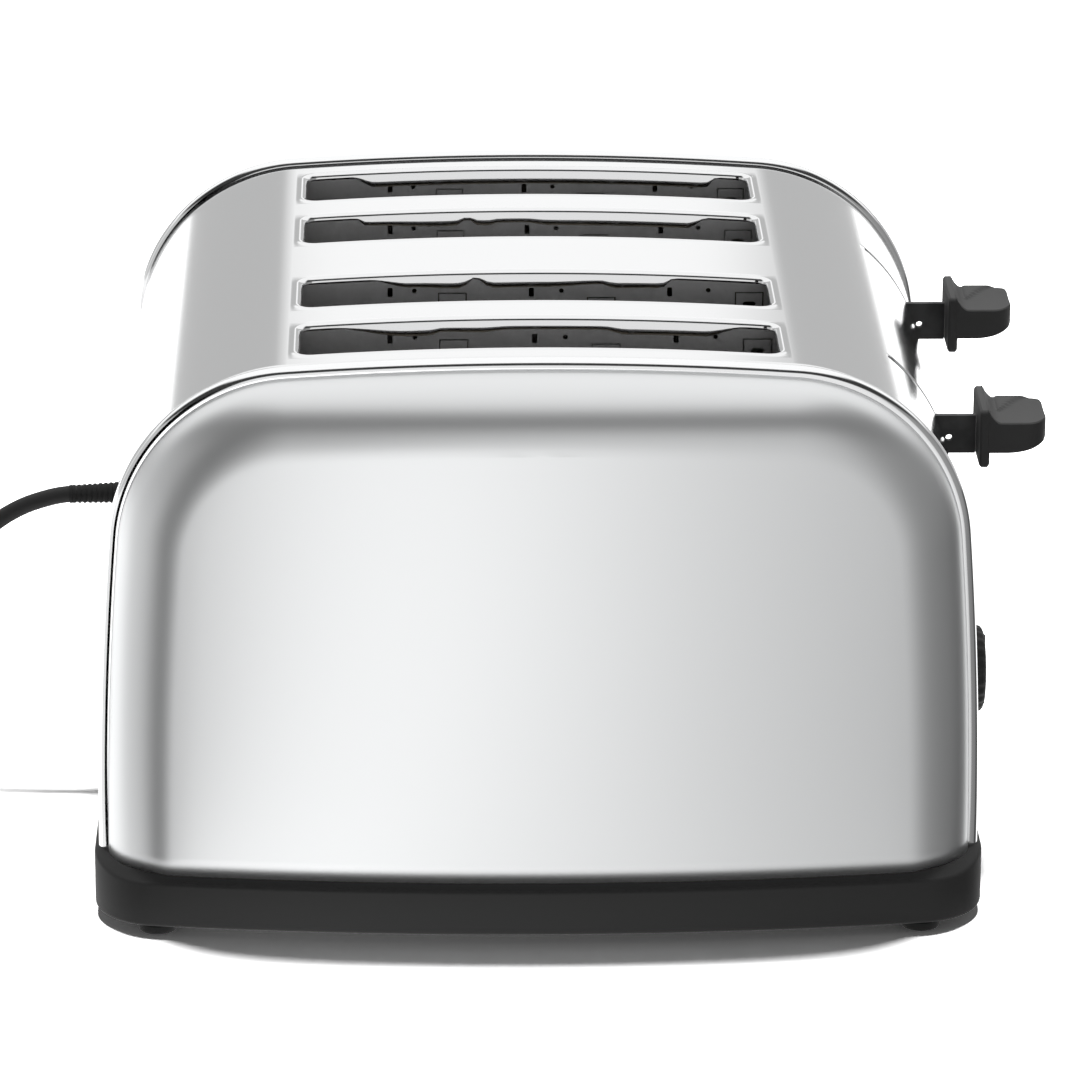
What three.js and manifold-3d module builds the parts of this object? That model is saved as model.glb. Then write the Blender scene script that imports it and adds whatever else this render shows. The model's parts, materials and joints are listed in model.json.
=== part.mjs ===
// Four-slice toaster: steel shell, pressed side panels, plastic base and the working parts inside.
// Millimetres, +Z up, +X towards the levers. Left and right are those of a user who faces the levers.
import * as THREE from 'three';
import { mergeVertices } from 'three/addons/utils/BufferGeometryUtils.js';
import Module from 'manifold-3d';

const wasm = await Module();
wasm.setup();

// Overall sizes
const crestHeight = 178;
const baseHalfLength = 136;
const baseHalfDepth = 142;
const trimInset = 29.5;
const seatGap = 0.3;
const runningGap = 0.4;
const sheet = 0.8;
const overrun = 5;
const cutMargin = 1;
const weldTolerance = 1e-3;

// Base tray and feet
const footHeight = 3.2;
const footRadius = 6;
const footStemRadius = 3;
const footInsetX = 19.5;
const footInsetY = 7.47847;
const footChamfer = 0.8;
const baseTop = 21.5;
const baseCornerRadius = 21;
const baseBowRadius = 850;
const baseWall = 2.6;
const baseFloor = 2.2;
const baseLedgeWidth = 6.5;
const baseLedgeHeight = 3.2;
const baseEdgeRound = 1.2;
const ventWidth = 3.4;
const ventHalfLength = 52;
const ventPitch = 11;
const ventCount = 7;

// Arch of the body, measured at the crest of the trim beads
const archStandoff = 1.3;
const crownAngle = THREE.MathUtils.degToRad(3.97);
const shoulderRadius = 58;
const shoulderEndAngle = THREE.MathUtils.degToRad(85.17);
const crownSteps = 3;
const shoulderSteps = 8;
const sideSteps = 3;

// Trim beads
const beadRadius = 2.8;
const beadRise = 1.8;
const webThickness = 2;
const webDepth = 7;
const beadSkirt = 0.5;

// Side panels
const panelStandoff = 3;
const panelRoundWidth = 20;
const panelLean = 2.5;
const panelRoundSteps = 5;
const panelFaceSteps = 6;

// Bread slots
const slotLength = 140;
const slotWidth = 31.5;
const slotCornerRadius = 4;
const pairBridge = 16.3;
const middleBridge = 36.7;
const lipRoll = 3.2;
const lipProud = 0.3;
const lipDepth = 11;

// Oven chamber
const chamberMargin = 7;
const chamberSideGap = 5.5;
const chamberDrop = 12;
const chamberLift = 2.5;
const legHalfWidth = 11.5;
const heaterOffset = 20.5;
const boardLift = 8.5;
const boardDrop = 5;
const boardThickness = 0.8;
const boardHoleRadius = 1.6;
const boardHoleShares = [-0.72, -0.3, 0.14, 0.62];
const ribbonWidth = 2;
const ribbonThickness = 0.5;
const ribbonRuns = 7;
const ribbonEndInset = 11;
const ribbonFootInset = 16;
const ribbonTopInset = 21;

// Bread guards and racks
const guardWireRadius = 0.9;
const guardWires = 5;
const guardLift = 11.5;
const guardDrop = 9;
const guardInset = 1.6;
const guardPlate = 1;
const guardLegWidth = 4;
const rackClearance = 1;
const rackHeight = 10;
const rackThickness = 1.2;
const rackToothHeight = 3;
const rackTabs = 4;
const rackTabWidth = 18;
const rackTabLength = 6;
const rackOverlap = 2;

// Carriage, lever and latch
const leverTravel = 51;
const leverLift = 15;
const stemDrop = 36.4;
const stemHeight = 12.2;
const stemThickness = 2;
const stemInset = 0.2;
const stemHoleRadius = 1.1;
const stemHoleInset = 8.2;
const slitDrop = 18;
const carriageGap = 9;
const carriagePlate = 1.6;
const carriageBarHeight = 12;
const carriageColumnHalfWidth = 14;
const carriageShelf = 14;
const rodReach = 8;
const rodRadius = 2.5;
const rodOffset = 9;
const rodHeadRadius = 3.6;
const rodHeadHeight = 2;
const bracketDrop = 6.6;
const bracketReach = 23;
const springRadius = 3;
const springWire = 0.9;
const springTurns = 9;
const springSides = 5;
const keeperReach = 24;
const keeperHalfWidth = 6.5;
const magnetReach = 18;
const magnetHalfLength = 5;
const magnetHalfWidth = 6.5;
const magnetHeight = 24.3;
const magnetBobbin = 2.2;
const leverPlateThickness = 3.1;
const leverPlateHalfWidth = 13;
const leverPlateRise = 5.4;
const leverPlateHeight = 18.6;
const leverPlateCorner = 1.5;
const thumbReach = 20.8;
const thumbHalfWidth = 12;
const thumbRise = 3.8;
const thumbDishDepth = 2.4;
const thumbHeight = 12.7;
const thumbTipHeight = 8.4;
const thumbNose = 7;
const thumbEdge = 2.4;
const thumbEase = 0.8;

// Controls
const knobZ = 57.8;
const knobRadius = 14.4;
const knobDepth = 8.1;
const knobWallGap = 0.7515;
const knobGrooves = 12;
const shaftRadius = 3;
const shaftInset = 3.2;
const controlBoardInset = 24;
const controlBoardThickness = 1.6;
const controlBoardRise = 17.2;
const controlBoardHalfWidth = 29;
const potRadius = 9;
const potDepth = 8;
const buttonZ = 33;
const buttonPitch = 19;
const buttonWidth = 13;
const buttonHeight = 7;
const buttonProud = 1.6;
const buttonTravel = 1.5;
const switchDepth = 4.8;
const switchHalfSize = 3;

// Crumb trays
const trayInnerInset = 14;
const trayOverhang = 1;
const trayWallHeight = 8;
const trayHandleThickness = 2.8;
const trayNotchRadius = 8;
const trayRailHeight = 1.2;
const trayRailWidth = 3;

// Mains lead: the points of its free stretch are chosen by hand
const cordDiameter = 5.4;
const cordStepDiameters = 2.5;
const cordFacets = 4;
const cordZ = 97;
const glandRadius = 6.2;
const glandLength = 22;
const glandFlange = 1;
const cordRoute = [
  [-132.3, 0, 97],
  [-138, 0, 97.1],
  [-146, 0, 96.7],
  [-154, 0, 95.3],
  [-162, 0, 92.6],
  [-170, 0, 88],
  [-177.5, 0, 81.2],
  [-183.5, 0, 72.4],
  [-188, 0, 61.5],
  [-191.6, 0, 49.5],
  [-195.5, 0, 37.4],
  [-201, 0, 25.6],
  [-209, 0, 15.4],
  [-219.5, 0, 7.8],
  [-231, 0.2, 3.7],
  [-241, 2.2, 2.8],
  [-250.5, 7.5, 2.8],
  [-257.8, 15.6, 2.8],
  [-262, 25.6, 2.8],
  [-264, 37, 2.8],
  [-264.4, 52, 2.8],
  [-264.4, 76, 2.8],
  [-264.4, 100, 2.8],
  [-264.4, 120, 3],
  [-264.4, 136, 3.5],
];
const coilMeanDiameters = 11;
const coilTurns = 3;
const coilPitchGap = 0.6;
const coilClimbTurns = 0.25;
const coilStepsPerTurn = 24;
const tieThickness = 0.5;
const tieWidth = 7;
const tailLength = 34;
const plugHalfWidth = 24;
const plugLength = 44;
const plugHeight = 19;
const plugShoulderShare = 0.8;
const plugHeadShare = 0.7;
const pinHeight = 17.7;
const earthHeight = 22.7;
const pinSpacing = 22.2;
const pinHalfWidth = 3.2;
const pinHalfThickness = 2;
const earthHalfWidth = 4;

// Materials
function finish(color, roughness, metalness) {
  return new THREE.MeshStandardMaterial({ color, roughness, metalness });
}
const polishedSteel = finish(0xd9dadb, 0.14, 1);
const brushedSteel = finish(0xc9cacb, 0.32, 1);
const chrome = finish(0xe6e7e8, 0.08, 1);
const platedSteel = finish(0x9a9c9e, 0.4, 1);
const darkSteel = finish(0x4b4c4e, 0.5, 1);
const blackPlastic = finish(0x1b1b1c, 0.5, 0);
const leverPlastic = finish(0x262626, 0.45, 0);
const rubber = finish(0x151515, 0.85, 0);
const mica = finish(0x6f6a62, 0.7, 0);
const circuitBoard = finish(0x2f6b45, 0.6, 0);
const copper = finish(0x9c5a34, 0.4, 1);
const cordPlastic = finish(0x121213, 0.55, 0);

const toaster = new THREE.Group();
toaster.name = 'toaster';
const sides = [
  { name: 'left', sign: -1 },
  { name: 'right', sign: 1 },
];

// Worked-out places
const trimPlaneY = baseHalfDepth - trimInset;
const bowCentreY = baseHalfDepth - baseBowRadius;
const footX = baseHalfLength - footInsetX;
const footY = bowCentreY + Math.sqrt(baseBowRadius ** 2 - footX ** 2) - footInsetY;
const baseBottom = footHeight;
const floorTop = baseBottom + baseFloor;
const archBottom = baseTop + seatGap;
const archHalfWidth = baseHalfLength - archStandoff;
const innerSlotY = middleBridge / 2 + slotWidth / 2;
const outerSlotY = innerSlotY + slotWidth + pairBridge;
const pairY = (innerSlotY + outerSlotY) / 2;
const slotCentres = [-outerSlotY, -innerSlotY, innerSlotY, outerSlotY];
const chamberHalfLength = slotLength / 2 + chamberMargin;
const chamberHalfDepth = trimPlaneY - chamberSideGap;
const chamberTop = crestHeight - chamberDrop;
const chamberBottom = baseTop + chamberLift;
const boardTop = chamberTop - boardDrop;
const boardBottom = baseTop + boardLift;
const ribbonHalfLength = chamberHalfLength - ribbonEndInset;
const ribbonTop = boardTop - ribbonTopInset;
const ribbonBottom = boardBottom + ribbonFootInset;
const guardTop = chamberTop - guardDrop;
const guardBottom = baseTop + guardLift;
const rackBottom = boardBottom + rackClearance + leverTravel;
const rackTop = rackBottom + rackHeight;
const rackHalfLength = slotLength / 2 + rackOverlap;
const barTop = rackTop + (carriageBarHeight - rackHeight) / 2;
const carriageX = chamberHalfLength + carriageGap;
const rodX = carriageX + rodReach;
const magnetX = carriageX + magnetReach;
const magnetTop = floorTop + seatGap + magnetHeight;
const bracketTop = chamberTop - bracketDrop;
const stemTop = crestHeight - stemDrop;
const stemBottom = stemTop - stemHeight;
const stemReach = baseHalfLength - stemInset;
const slitTop = crestHeight - slitDrop;
const slitBottom = stemBottom - leverTravel - 2 * runningGap;
const controlBoardX = baseHalfLength - controlBoardInset;
const trayHalfWidth = pairY - trayInnerInset;
const trayFront = chamberHalfLength + trayOverhang;
const trayHandleTop = baseTop - baseLedgeHeight - 2 * seatGap;
const originShift = -thumbReach / 2;
toaster.position.x = originShift;

// Shape helpers
const axisX = new THREE.Vector3(1, 0, 0);
const axisY = new THREE.Vector3(0, 1, 0);
const axisZ = new THREE.Vector3(0, 0, 1);

function vec(x, y, z) {
  return new THREE.Vector3(x, y, z);
}

function outline(points) {
  return new THREE.Shape(points.map(([u, v]) => new THREE.Vector2(u, v)));
}

function rectangle(u0, u1, v0, v1) {
  return outline([[u0, v0], [u1, v0], [u1, v1], [u0, v1]]);
}

function roundedRectangle(centreU, centreV, halfU, halfV, radius) {
  const shape = new THREE.Shape();
  const innerU = halfU - radius;
  const innerV = halfV - radius;
  shape.absarc(centreU + innerU, centreV + innerV, radius, 0, Math.PI / 2);
  shape.absarc(centreU - innerU, centreV + innerV, radius, Math.PI / 2, Math.PI);
  shape.absarc(centreU - innerU, centreV - innerV, radius, Math.PI, 1.5 * Math.PI);
  shape.absarc(centreU + innerU, centreV - innerV, radius, 1.5 * Math.PI, 2 * Math.PI);
  return shape;
}

function disc(centreU, centreV, radius) {
  const shape = new THREE.Shape();
  shape.absarc(centreU, centreV, radius, 0, 2 * Math.PI);
  return shape;
}

// A flat outline grown along one axis, from start to start plus depth
function slab(shape, axis, start, depth, segments = 3) {
  const geometry = new THREE.ExtrudeGeometry(shape, {
    depth,
    bevelEnabled: false,
    curveSegments: segments,
  });
  if (axis === 'x') {
    geometry.applyMatrix4(new THREE.Matrix4().makeBasis(axisY, axisZ, axisX));
    return geometry.translate(start, 0, 0);
  }
  if (axis === 'y') {
    geometry.applyMatrix4(new THREE.Matrix4().makeBasis(axisX, axisZ, axisY.clone().negate()));
    return geometry.translate(0, start + depth, 0);
  }
  return geometry.translate(0, 0, start);
}

function block(x0, x1, y0, y1, z0, z1) {
  const geometry = new THREE.BoxGeometry(x1 - x0, y1 - y0, z1 - z0);
  return geometry.translate((x0 + x1) / 2, (y0 + y1) / 2, (z0 + z1) / 2);
}

// A round bar from one point to another
function bar(from, to, radius, segments = 8) {
  const length = from.distanceTo(to);
  const geometry = new THREE.CylinderGeometry(radius, radius, length, segments);
  const turn = new THREE.Quaternion();
  turn.setFromUnitVectors(axisY, to.clone().sub(from).normalize());
  geometry.applyQuaternion(turn);
  const middle = from.clone().add(to).multiplyScalar(0.5);
  return geometry.translate(middle.x, middle.y, middle.z);
}

// A turned piece: the profile holds [radius, height] pairs, and its axis is laid along X or kept on Z
function turned(profile, axis, segments) {
  const points = profile.map(([radius, height]) => new THREE.Vector2(radius, height));
  const geometry = new THREE.LatheGeometry(points, segments);
  geometry.rotateX(Math.PI / 2);
  if (axis === 'x') {
    geometry.applyMatrix4(new THREE.Matrix4().makeBasis(axisY, axisZ, axisX));
  }
  return geometry;
}

// Geometry from corner places and triangles, with its faces turned outwards
function closedGeometry(corners, triangles) {
  let volume = 0;
  for (const [a, b, c] of triangles) {
    volume += corners[a].dot(corners[b].clone().cross(corners[c]));
  }
  const order = volume < 0 ? [0, 2, 1] : [0, 1, 2];
  const geometry = new THREE.BufferGeometry();
  const positions = corners.flatMap((corner) => [corner.x, corner.y, corner.z]);
  geometry.setAttribute('position', new THREE.Float32BufferAttribute(positions, 3));
  geometry.setIndex(triangles.flatMap((triangle) => order.map((place) => triangle[place])));
  return geometry;
}

// Triangles that close a ring, running the same way round as the ring does
function capTriangles(ring) {
  const normal = vec(0, 0, 0);
  ring.forEach((point, i) => {
    normal.add(point.clone().cross(ring[(i + 1) % ring.length]));
  });
  const share = (axis) => Math.abs(axis.dot(normal));
  const [flattest] = [axisX, axisY, axisZ].sort((a, b) => share(a) - share(b));
  const across = normal.clone().cross(flattest).normalize();
  const along = across.clone().cross(normal).normalize();
  const flat = ring.map((point) => new THREE.Vector2(point.dot(along), point.dot(across)));
  const triangles = THREE.ShapeUtils.triangulateShape(flat, []);
  return triangles.map(([a, b, c]) => {
    const area = THREE.ShapeUtils.area([flat[a], flat[b], flat[c]]);
    return area < 0 ? [a, c, b] : [a, b, c];
  });
}

// A skin through rings of equal count: looped back on itself, or capped at both ends
function loft(rings, looped = false) {
  const count = rings[0].length;
  const corners = rings.flat();
  const triangles = [];
  const spans = looped ? rings.length : rings.length - 1;
  for (let i = 0; i < spans; i += 1) {
    const next = (i + 1) % rings.length;
    for (let j = 0; j < count; j += 1) {
      const beside = (j + 1) % count;
      triangles.push([i * count + j, i * count + beside, next * count + beside]);
      triangles.push([i * count + j, next * count + beside, next * count + j]);
    }
  }
  if (!looped) {
    const last = (rings.length - 1) * count;
    capTriangles(rings[0]).forEach(([a, b, c]) => triangles.push([a, c, b]));
    capTriangles(rings.at(-1)).forEach(([a, b, c]) => triangles.push([last + a, last + b, last + c]));
  }
  return closedGeometry(corners, triangles);
}

// Solids for joining and cutting
function toSolid(geometry) {
  const plain = geometry.clone();
  plain.deleteAttribute('normal');
  plain.deleteAttribute('uv');
  const merged = mergeVertices(plain, weldTolerance / 10);
  return new wasm.Manifold(new wasm.Mesh({
    numProp: 3,
    vertProperties: new Float32Array(merged.attributes.position.array),
    triVerts: new Uint32Array(merged.index.array),
  }));
}

function joined(...geometries) {
  return geometries.map(toSolid).reduce((whole, piece) => whole.add(piece));
}

function cut(solid, ...geometries) {
  return geometries.map(toSolid).reduce((whole, piece) => whole.subtract(piece), solid);
}

function toGeometry(solid) {
  const mesh = solid.getMesh();
  const geometry = new THREE.BufferGeometry();
  geometry.setAttribute('position', new THREE.BufferAttribute(mesh.vertProperties, 3));
  geometry.setIndex(new THREE.BufferAttribute(mesh.triVerts, 1));
  return geometry;
}

function addPiece(name, shape, material) {
  const geometry = shape instanceof THREE.BufferGeometry ? shape : toGeometry(shape);
  const piece = new THREE.Mesh(geometry, material);
  piece.name = name;
  toaster.add(piece);
  return piece;
}

// The arch: three tangent arcs a side, sampled as places with outward directions
const sideRadius = (() => {
  const drop = shoulderRadius * (Math.cos(crownAngle) - Math.cos(shoulderEndAngle));
  const crownDrop = archHalfWidth * Math.tan(crownAngle / 2) / 2;
  return (crestHeight - crownDrop - drop - archBottom) / Math.cos(shoulderEndAngle);
})();
const shoulderCentreX = archHalfWidth
  - sideRadius * (1 - Math.sin(shoulderEndAngle))
  - shoulderRadius * Math.sin(shoulderEndAngle);
const crownRadius = (shoulderCentreX + shoulderRadius * Math.sin(crownAngle)) / Math.sin(crownAngle);
const crownCentreZ = crestHeight - crownRadius;
const shoulderCentreZ = crownCentreZ + (crownRadius - shoulderRadius) * Math.cos(crownAngle);
const sideCentreX = shoulderCentreX - (sideRadius - shoulderRadius) * Math.sin(shoulderEndAngle);
const sideCentreZ = shoulderCentreZ - (sideRadius - shoulderRadius) * Math.cos(shoulderEndAngle);

function arcPlaces(centreX, centreZ, radius, fromAngle, toAngle, steps) {
  const places = [];
  for (let i = 1; i <= steps; i += 1) {
    const angle = fromAngle + (toAngle - fromAngle) * i / steps;
    const nx = Math.sin(angle);
    const nz = Math.cos(angle);
    places.push({ x: centreX + radius * nx, z: centreZ + radius * nz, nx, nz });
  }
  return places;
}

const sideEndAngle = Math.acos((archBottom - sideCentreZ) / sideRadius);
const archHalf = [
  { x: 0, z: crestHeight, nx: 0, nz: 1 },
  ...arcPlaces(0, crownCentreZ, crownRadius, 0, crownAngle, crownSteps),
  ...arcPlaces(shoulderCentreX, shoulderCentreZ, shoulderRadius, crownAngle, shoulderEndAngle, shoulderSteps),
  ...arcPlaces(sideCentreX, sideCentreZ, sideRadius, shoulderEndAngle, sideEndAngle, sideSteps),
];
const archPlaces = [
  ...archHalf.slice(1).reverse().map((place) => ({ ...place, x: -place.x, nx: -place.nx })),
  ...archHalf,
];

// A place on the arch, moved inwards; the lowest places keep the height of the arch's foot
function archPoint(place, inset) {
  const z = place.z - inset * place.nz;
  return [place.x - inset * place.nx, Math.max(z, archBottom)];
}

function crownZ(x, inset) {
  return crownCentreZ + Math.sqrt((crownRadius - inset) ** 2 - x ** 2);
}

function wallX(z, inset) {
  return sideCentreX + Math.sqrt((sideRadius - inset) ** 2 - (z - sideCentreZ) ** 2);
}

// The plan of the base: bowed long sides, straight short sides and round corners
function basePlan(inset, steps = 4) {
  const corner = baseCornerRadius - inset;
  const bow = baseBowRadius - inset;
  const cornerX = baseHalfLength - baseCornerRadius;
  const bowAngle = Math.asin(cornerX / (baseBowRadius - baseCornerRadius));
  const cornerY = bowCentreY + (baseBowRadius - baseCornerRadius) * Math.cos(bowAngle);
  const quarter = [];
  for (let i = 0; i <= steps; i += 1) {
    const angle = bowAngle + (Math.PI / 2 - bowAngle) * (1 - i / steps);
    quarter.push([cornerX + corner * Math.sin(angle), cornerY + corner * Math.cos(angle)]);
  }
  for (let i = 1; i < steps; i += 1) {
    const angle = bowAngle * (1 - i / steps);
    quarter.push([bow * Math.sin(angle), bowCentreY + bow * Math.cos(angle)]);
  }
  const half = [...quarter, [0, baseHalfDepth - inset], ...quarter.toReversed().map(([x, y]) => [-x, y])];
  return [...half, ...half.toReversed().map(([x, y]) => [x, -y])];
}

function planRing(inset, z) {
  return basePlan(inset).map(([x, y]) => vec(x, y, z));
}

// Base tray with a hollow, a ledge for the shell, tray mouths, vents and holes for the feet
function makeBase() {
  const outer = loft([
    planRing(baseEdgeRound, baseBottom),
    planRing(0, baseBottom + baseEdgeRound),
    planRing(0, baseTop - baseEdgeRound),
    planRing(baseEdgeRound, baseTop),
  ]);
  const ledgeBottom = baseTop - baseLedgeHeight;
  const hollow = loft([planRing(baseWall, floorTop), planRing(baseWall, ledgeBottom)]);
  const mouth = loft([planRing(baseLedgeWidth, floorTop), planRing(baseLedgeWidth, baseTop + overrun)]);
  const cutters = [hollow, mouth];
  for (const { sign } of sides) {
    const halfMouth = trayHalfWidth + 2 * runningGap;
    cutters.push(block(
      -baseHalfLength - overrun,
      -baseHalfLength + baseLedgeWidth,
      sign * pairY - halfMouth,
      sign * pairY + halfMouth,
      floorTop + trayRailHeight,
      trayHandleTop + seatGap,
    ));
    for (let i = 0; i < ventCount; i += 1) {
      const ventY = sign * pairY + (i - (ventCount - 1) / 2) * ventPitch;
      const y0 = ventY - ventWidth / 2;
      cutters.push(block(-ventHalfLength, ventHalfLength, y0, y0 + ventWidth, 0, floorTop + overrun));
    }
    for (const end of [-1, 1]) {
      const foot = vec(end * footX, sign * footY, 0);
      const radius = footStemRadius + seatGap;
      cutters.push(bar(foot, vec(foot.x, foot.y, floorTop + overrun), radius, 12));
    }
  }
  const rails = [];
  for (const { sign } of sides) {
    for (const edge of [-1, 1]) {
      const railY = sign * pairY + edge * (trayHalfWidth - 2 * trayRailWidth);
      const railEnd = baseHalfLength - 2 * baseWall;
      rails.push(block(-railEnd, trayFront, railY - trayRailWidth / 2, railY + trayRailWidth / 2,
        floorTop - seatGap, floorTop + trayRailHeight));
    }
  }
  const tray = rails.map(toSolid).reduce((whole, rail) => whole.add(rail), cut(toSolid(outer), ...cutters));
  addPiece('base_tray', tray, blackPlastic);
}

function makeFeet() {
  const padTop = footHeight - seatGap;
  const headRadius = footStemRadius + 2 * seatGap;
  const profile = [
    [0, 0],
    [footRadius - footChamfer, 0],
    [footRadius, footChamfer],
    [footRadius, padTop],
    [footStemRadius, padTop],
    [footStemRadius, floorTop + seatGap],
    [headRadius + seatGap, floorTop + seatGap],
    [footStemRadius, floorTop + footStemRadius],
    [0, floorTop + footStemRadius],
  ];
  for (const { name, sign } of sides) {
    for (const [end, place] of [[1, 'front'], [-1, 'rear']]) {
      const foot = turned(profile, 'z', 12);
      addPiece(`rubber_foot_${place}_${name}`, foot, rubber).position.set(end * footX, sign * footY, 0);
    }
  }
}

// The rolled lip round one bread slot, following the crown of the shell
function slotLip(slotY) {
  const halfX = slotLength / 2;
  const halfY = slotWidth / 2;
  const plan = [];
  const cornerSteps = 2;
  for (const [signX, signY, start] of [[1, 1, 0], [-1, 1, 1], [-1, -1, 2], [1, -1, 3]]) {
    for (let i = 0; i <= cornerSteps; i += 1) {
      const angle = (start + i / cornerSteps) * Math.PI / 2;
      const nx = Math.cos(angle);
      const ny = Math.sin(angle);
      const x = signX * (halfX - slotCornerRadius) + slotCornerRadius * nx;
      const y = signY * (halfY - slotCornerRadius) + slotCornerRadius * ny;
      plan.push({ x, y, nx, ny });
    }
    if (start === 0 || start === 2) {
      const lineSteps = 3;
      for (let i = 1; i < lineSteps; i += 1) {
        const share = 1 - 2 * i / lineSteps;
        plan.push({ x: signX * share * (halfX - slotCornerRadius), y: signY * halfY, nx: 0, ny: signY });
      }
    }
  }
  const inner = lipRoll - sheet;
  const section = [
    [lipRoll + sheet, lipProud],
    [lipRoll, lipProud],
    [lipRoll * (1 - Math.sin(Math.PI / 6)), lipProud - lipRoll * (1 - Math.cos(Math.PI / 6))],
    [lipRoll * (1 - Math.sin(Math.PI / 3)), lipProud - lipRoll * (1 - Math.cos(Math.PI / 3))],
    [0, lipProud - lipRoll],
    [0, -lipDepth],
    [sheet, -lipDepth],
    [sheet, lipProud - lipRoll],
    [lipRoll - inner * Math.SQRT1_2, lipProud - lipRoll + inner * Math.SQRT1_2],
    [lipRoll + sheet, lipProud - sheet],
  ];
  return loft(plan.map(({ x, y, nx, ny }) => section.map(([out, rise]) => {
    const px = x + out * nx;
    return vec(px, slotY + y + out * ny, crownZ(px, beadRise) + rise);
  })), true);
}

// The polished wrap over the front, top and rear
function makeShell() {
  const outer = archPlaces.map((place) => archPoint(place, beadRise));
  const inner = archPlaces.map((place) => archPoint(place, beadRise + sheet)).reverse();
  const halfDepth = trimPlaneY - beadRadius - seatGap;
  const wrap = slab(outline([...outer, ...inner]), 'y', -halfDepth, 2 * halfDepth);
  const cutters = [];
  const lips = [];
  for (const slotY of slotCentres) {
    const halfX = slotLength / 2 + lipRoll;
    const halfY = slotWidth / 2 + lipRoll;
    const mouth = roundedRectangle(0, slotY, halfX, halfY, slotCornerRadius + lipRoll);
    cutters.push(slab(mouth, 'z', crestHeight - 2 * lipDepth, 3 * lipDepth, 2));
    lips.push(slotLip(slotY));
  }
  for (const { sign } of sides) {
    const leverY = sign * pairY;
    const slitHalf = stemThickness / 2 + runningGap;
    const slitStart = shoulderCentreX + shoulderRadius / 2;
    const front = baseHalfLength + overrun;
    cutters.push(block(slitStart, front, leverY - slitHalf, leverY + slitHalf, slitBottom, slitTop));
    const shaftHole = disc(leverY, knobZ, shaftRadius + runningGap);
    cutters.push(slab(shaftHole, 'x', controlBoardX, front - controlBoardX, 4));
    for (const step of [-1, 0, 1]) {
      const hole = roundedRectangle(
        leverY + step * buttonPitch,
        buttonZ,
        buttonWidth / 2 + runningGap,
        buttonHeight / 2 + runningGap,
        buttonHeight / 2 + runningGap,
      );
      cutters.push(slab(hole, 'x', controlBoardX, front - controlBoardX, 1));
    }
  }
  const cordHole = disc(0, cordZ, glandRadius - glandFlange);
  cutters.push(slab(cordHole, 'x', -baseHalfLength - overrun, controlBoardInset, 6));
  const shell = lips.map(toSolid).reduce((whole, lip) => whole.add(lip), cut(toSolid(wrap), ...cutters));
  addPiece('centre_shell', shell, polishedSteel);
}

// The chromed bead that closes the joint of shell and side panel, with its web
function makeTrims() {
  const section = [];
  const beadSteps = 5;
  for (let i = 0; i <= beadSteps; i += 1) {
    const angle = Math.PI * i / beadSteps;
    section.push([beadRadius * (1 - Math.sin(angle)), -beadRadius * Math.cos(angle)]);
  }
  const web = webThickness / 2;
  const skirt = beadRadius + beadSkirt;
  section.push([skirt, beadRadius], [skirt, web], [skirt + webDepth, web]);
  section.push([skirt + webDepth, -web], [skirt, -web], [skirt, -beadRadius]);
  for (const { name, sign } of sides) {
    const rings = archPlaces.map((place) => section.map(([inset, along]) => {
      const [x, z] = archPoint(place, inset);
      return vec(x, sign * (trimPlaneY + along), z);
    }));
    addPiece(`trim_${name}`, loft(rings), chrome);
  }
}

// The pressed side panel: a round edge that swells into a bowed, slightly leaning face
function makePanels() {
  const rimInset = beadRadius + seatGap;
  const rimY = trimPlaneY + beadRadius + seatGap;
  const faceAt = (x, z) => {
    const lean = panelLean * (z - archBottom) / (crestHeight - archBottom);
    return baseHalfDepth - panelStandoff - x * x / (2 * (baseBowRadius - panelStandoff)) - lean;
  };
  const middle = (archPlaces.length - 1) / 2;
  const rows = [];
  for (let k = 0; k <= middle; k += 1) {
    const place = archPlaces[k];
    const half = [];
    for (let step = 0; step <= panelRoundSteps; step += 1) {
      const angle = Math.PI / 2 * step / panelRoundSteps;
      const [x, z] = archPoint(place, rimInset + panelRoundWidth * (1 - Math.cos(angle)));
      half.push([x, rimY + (faceAt(x, z) - rimY) * Math.sin(angle), z]);
    }
    const [edgeX, , edgeZ] = half.at(-1);
    const face = [];
    for (let step = 1; step < panelFaceSteps; step += 1) {
      const x = edgeX * (1 - 2 * step / panelFaceSteps);
      face.push([x, faceAt(x, edgeZ), edgeZ]);
    }
    rows.push([...half, ...face, ...half.toReversed().map(([x, y, z]) => [-x, y, z])]);
  }
  for (const { name, sign } of sides) {
    addPiece(`side_panel_${name}`, panelShell(rows, sign), brushedSteel);
  }
}

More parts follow.
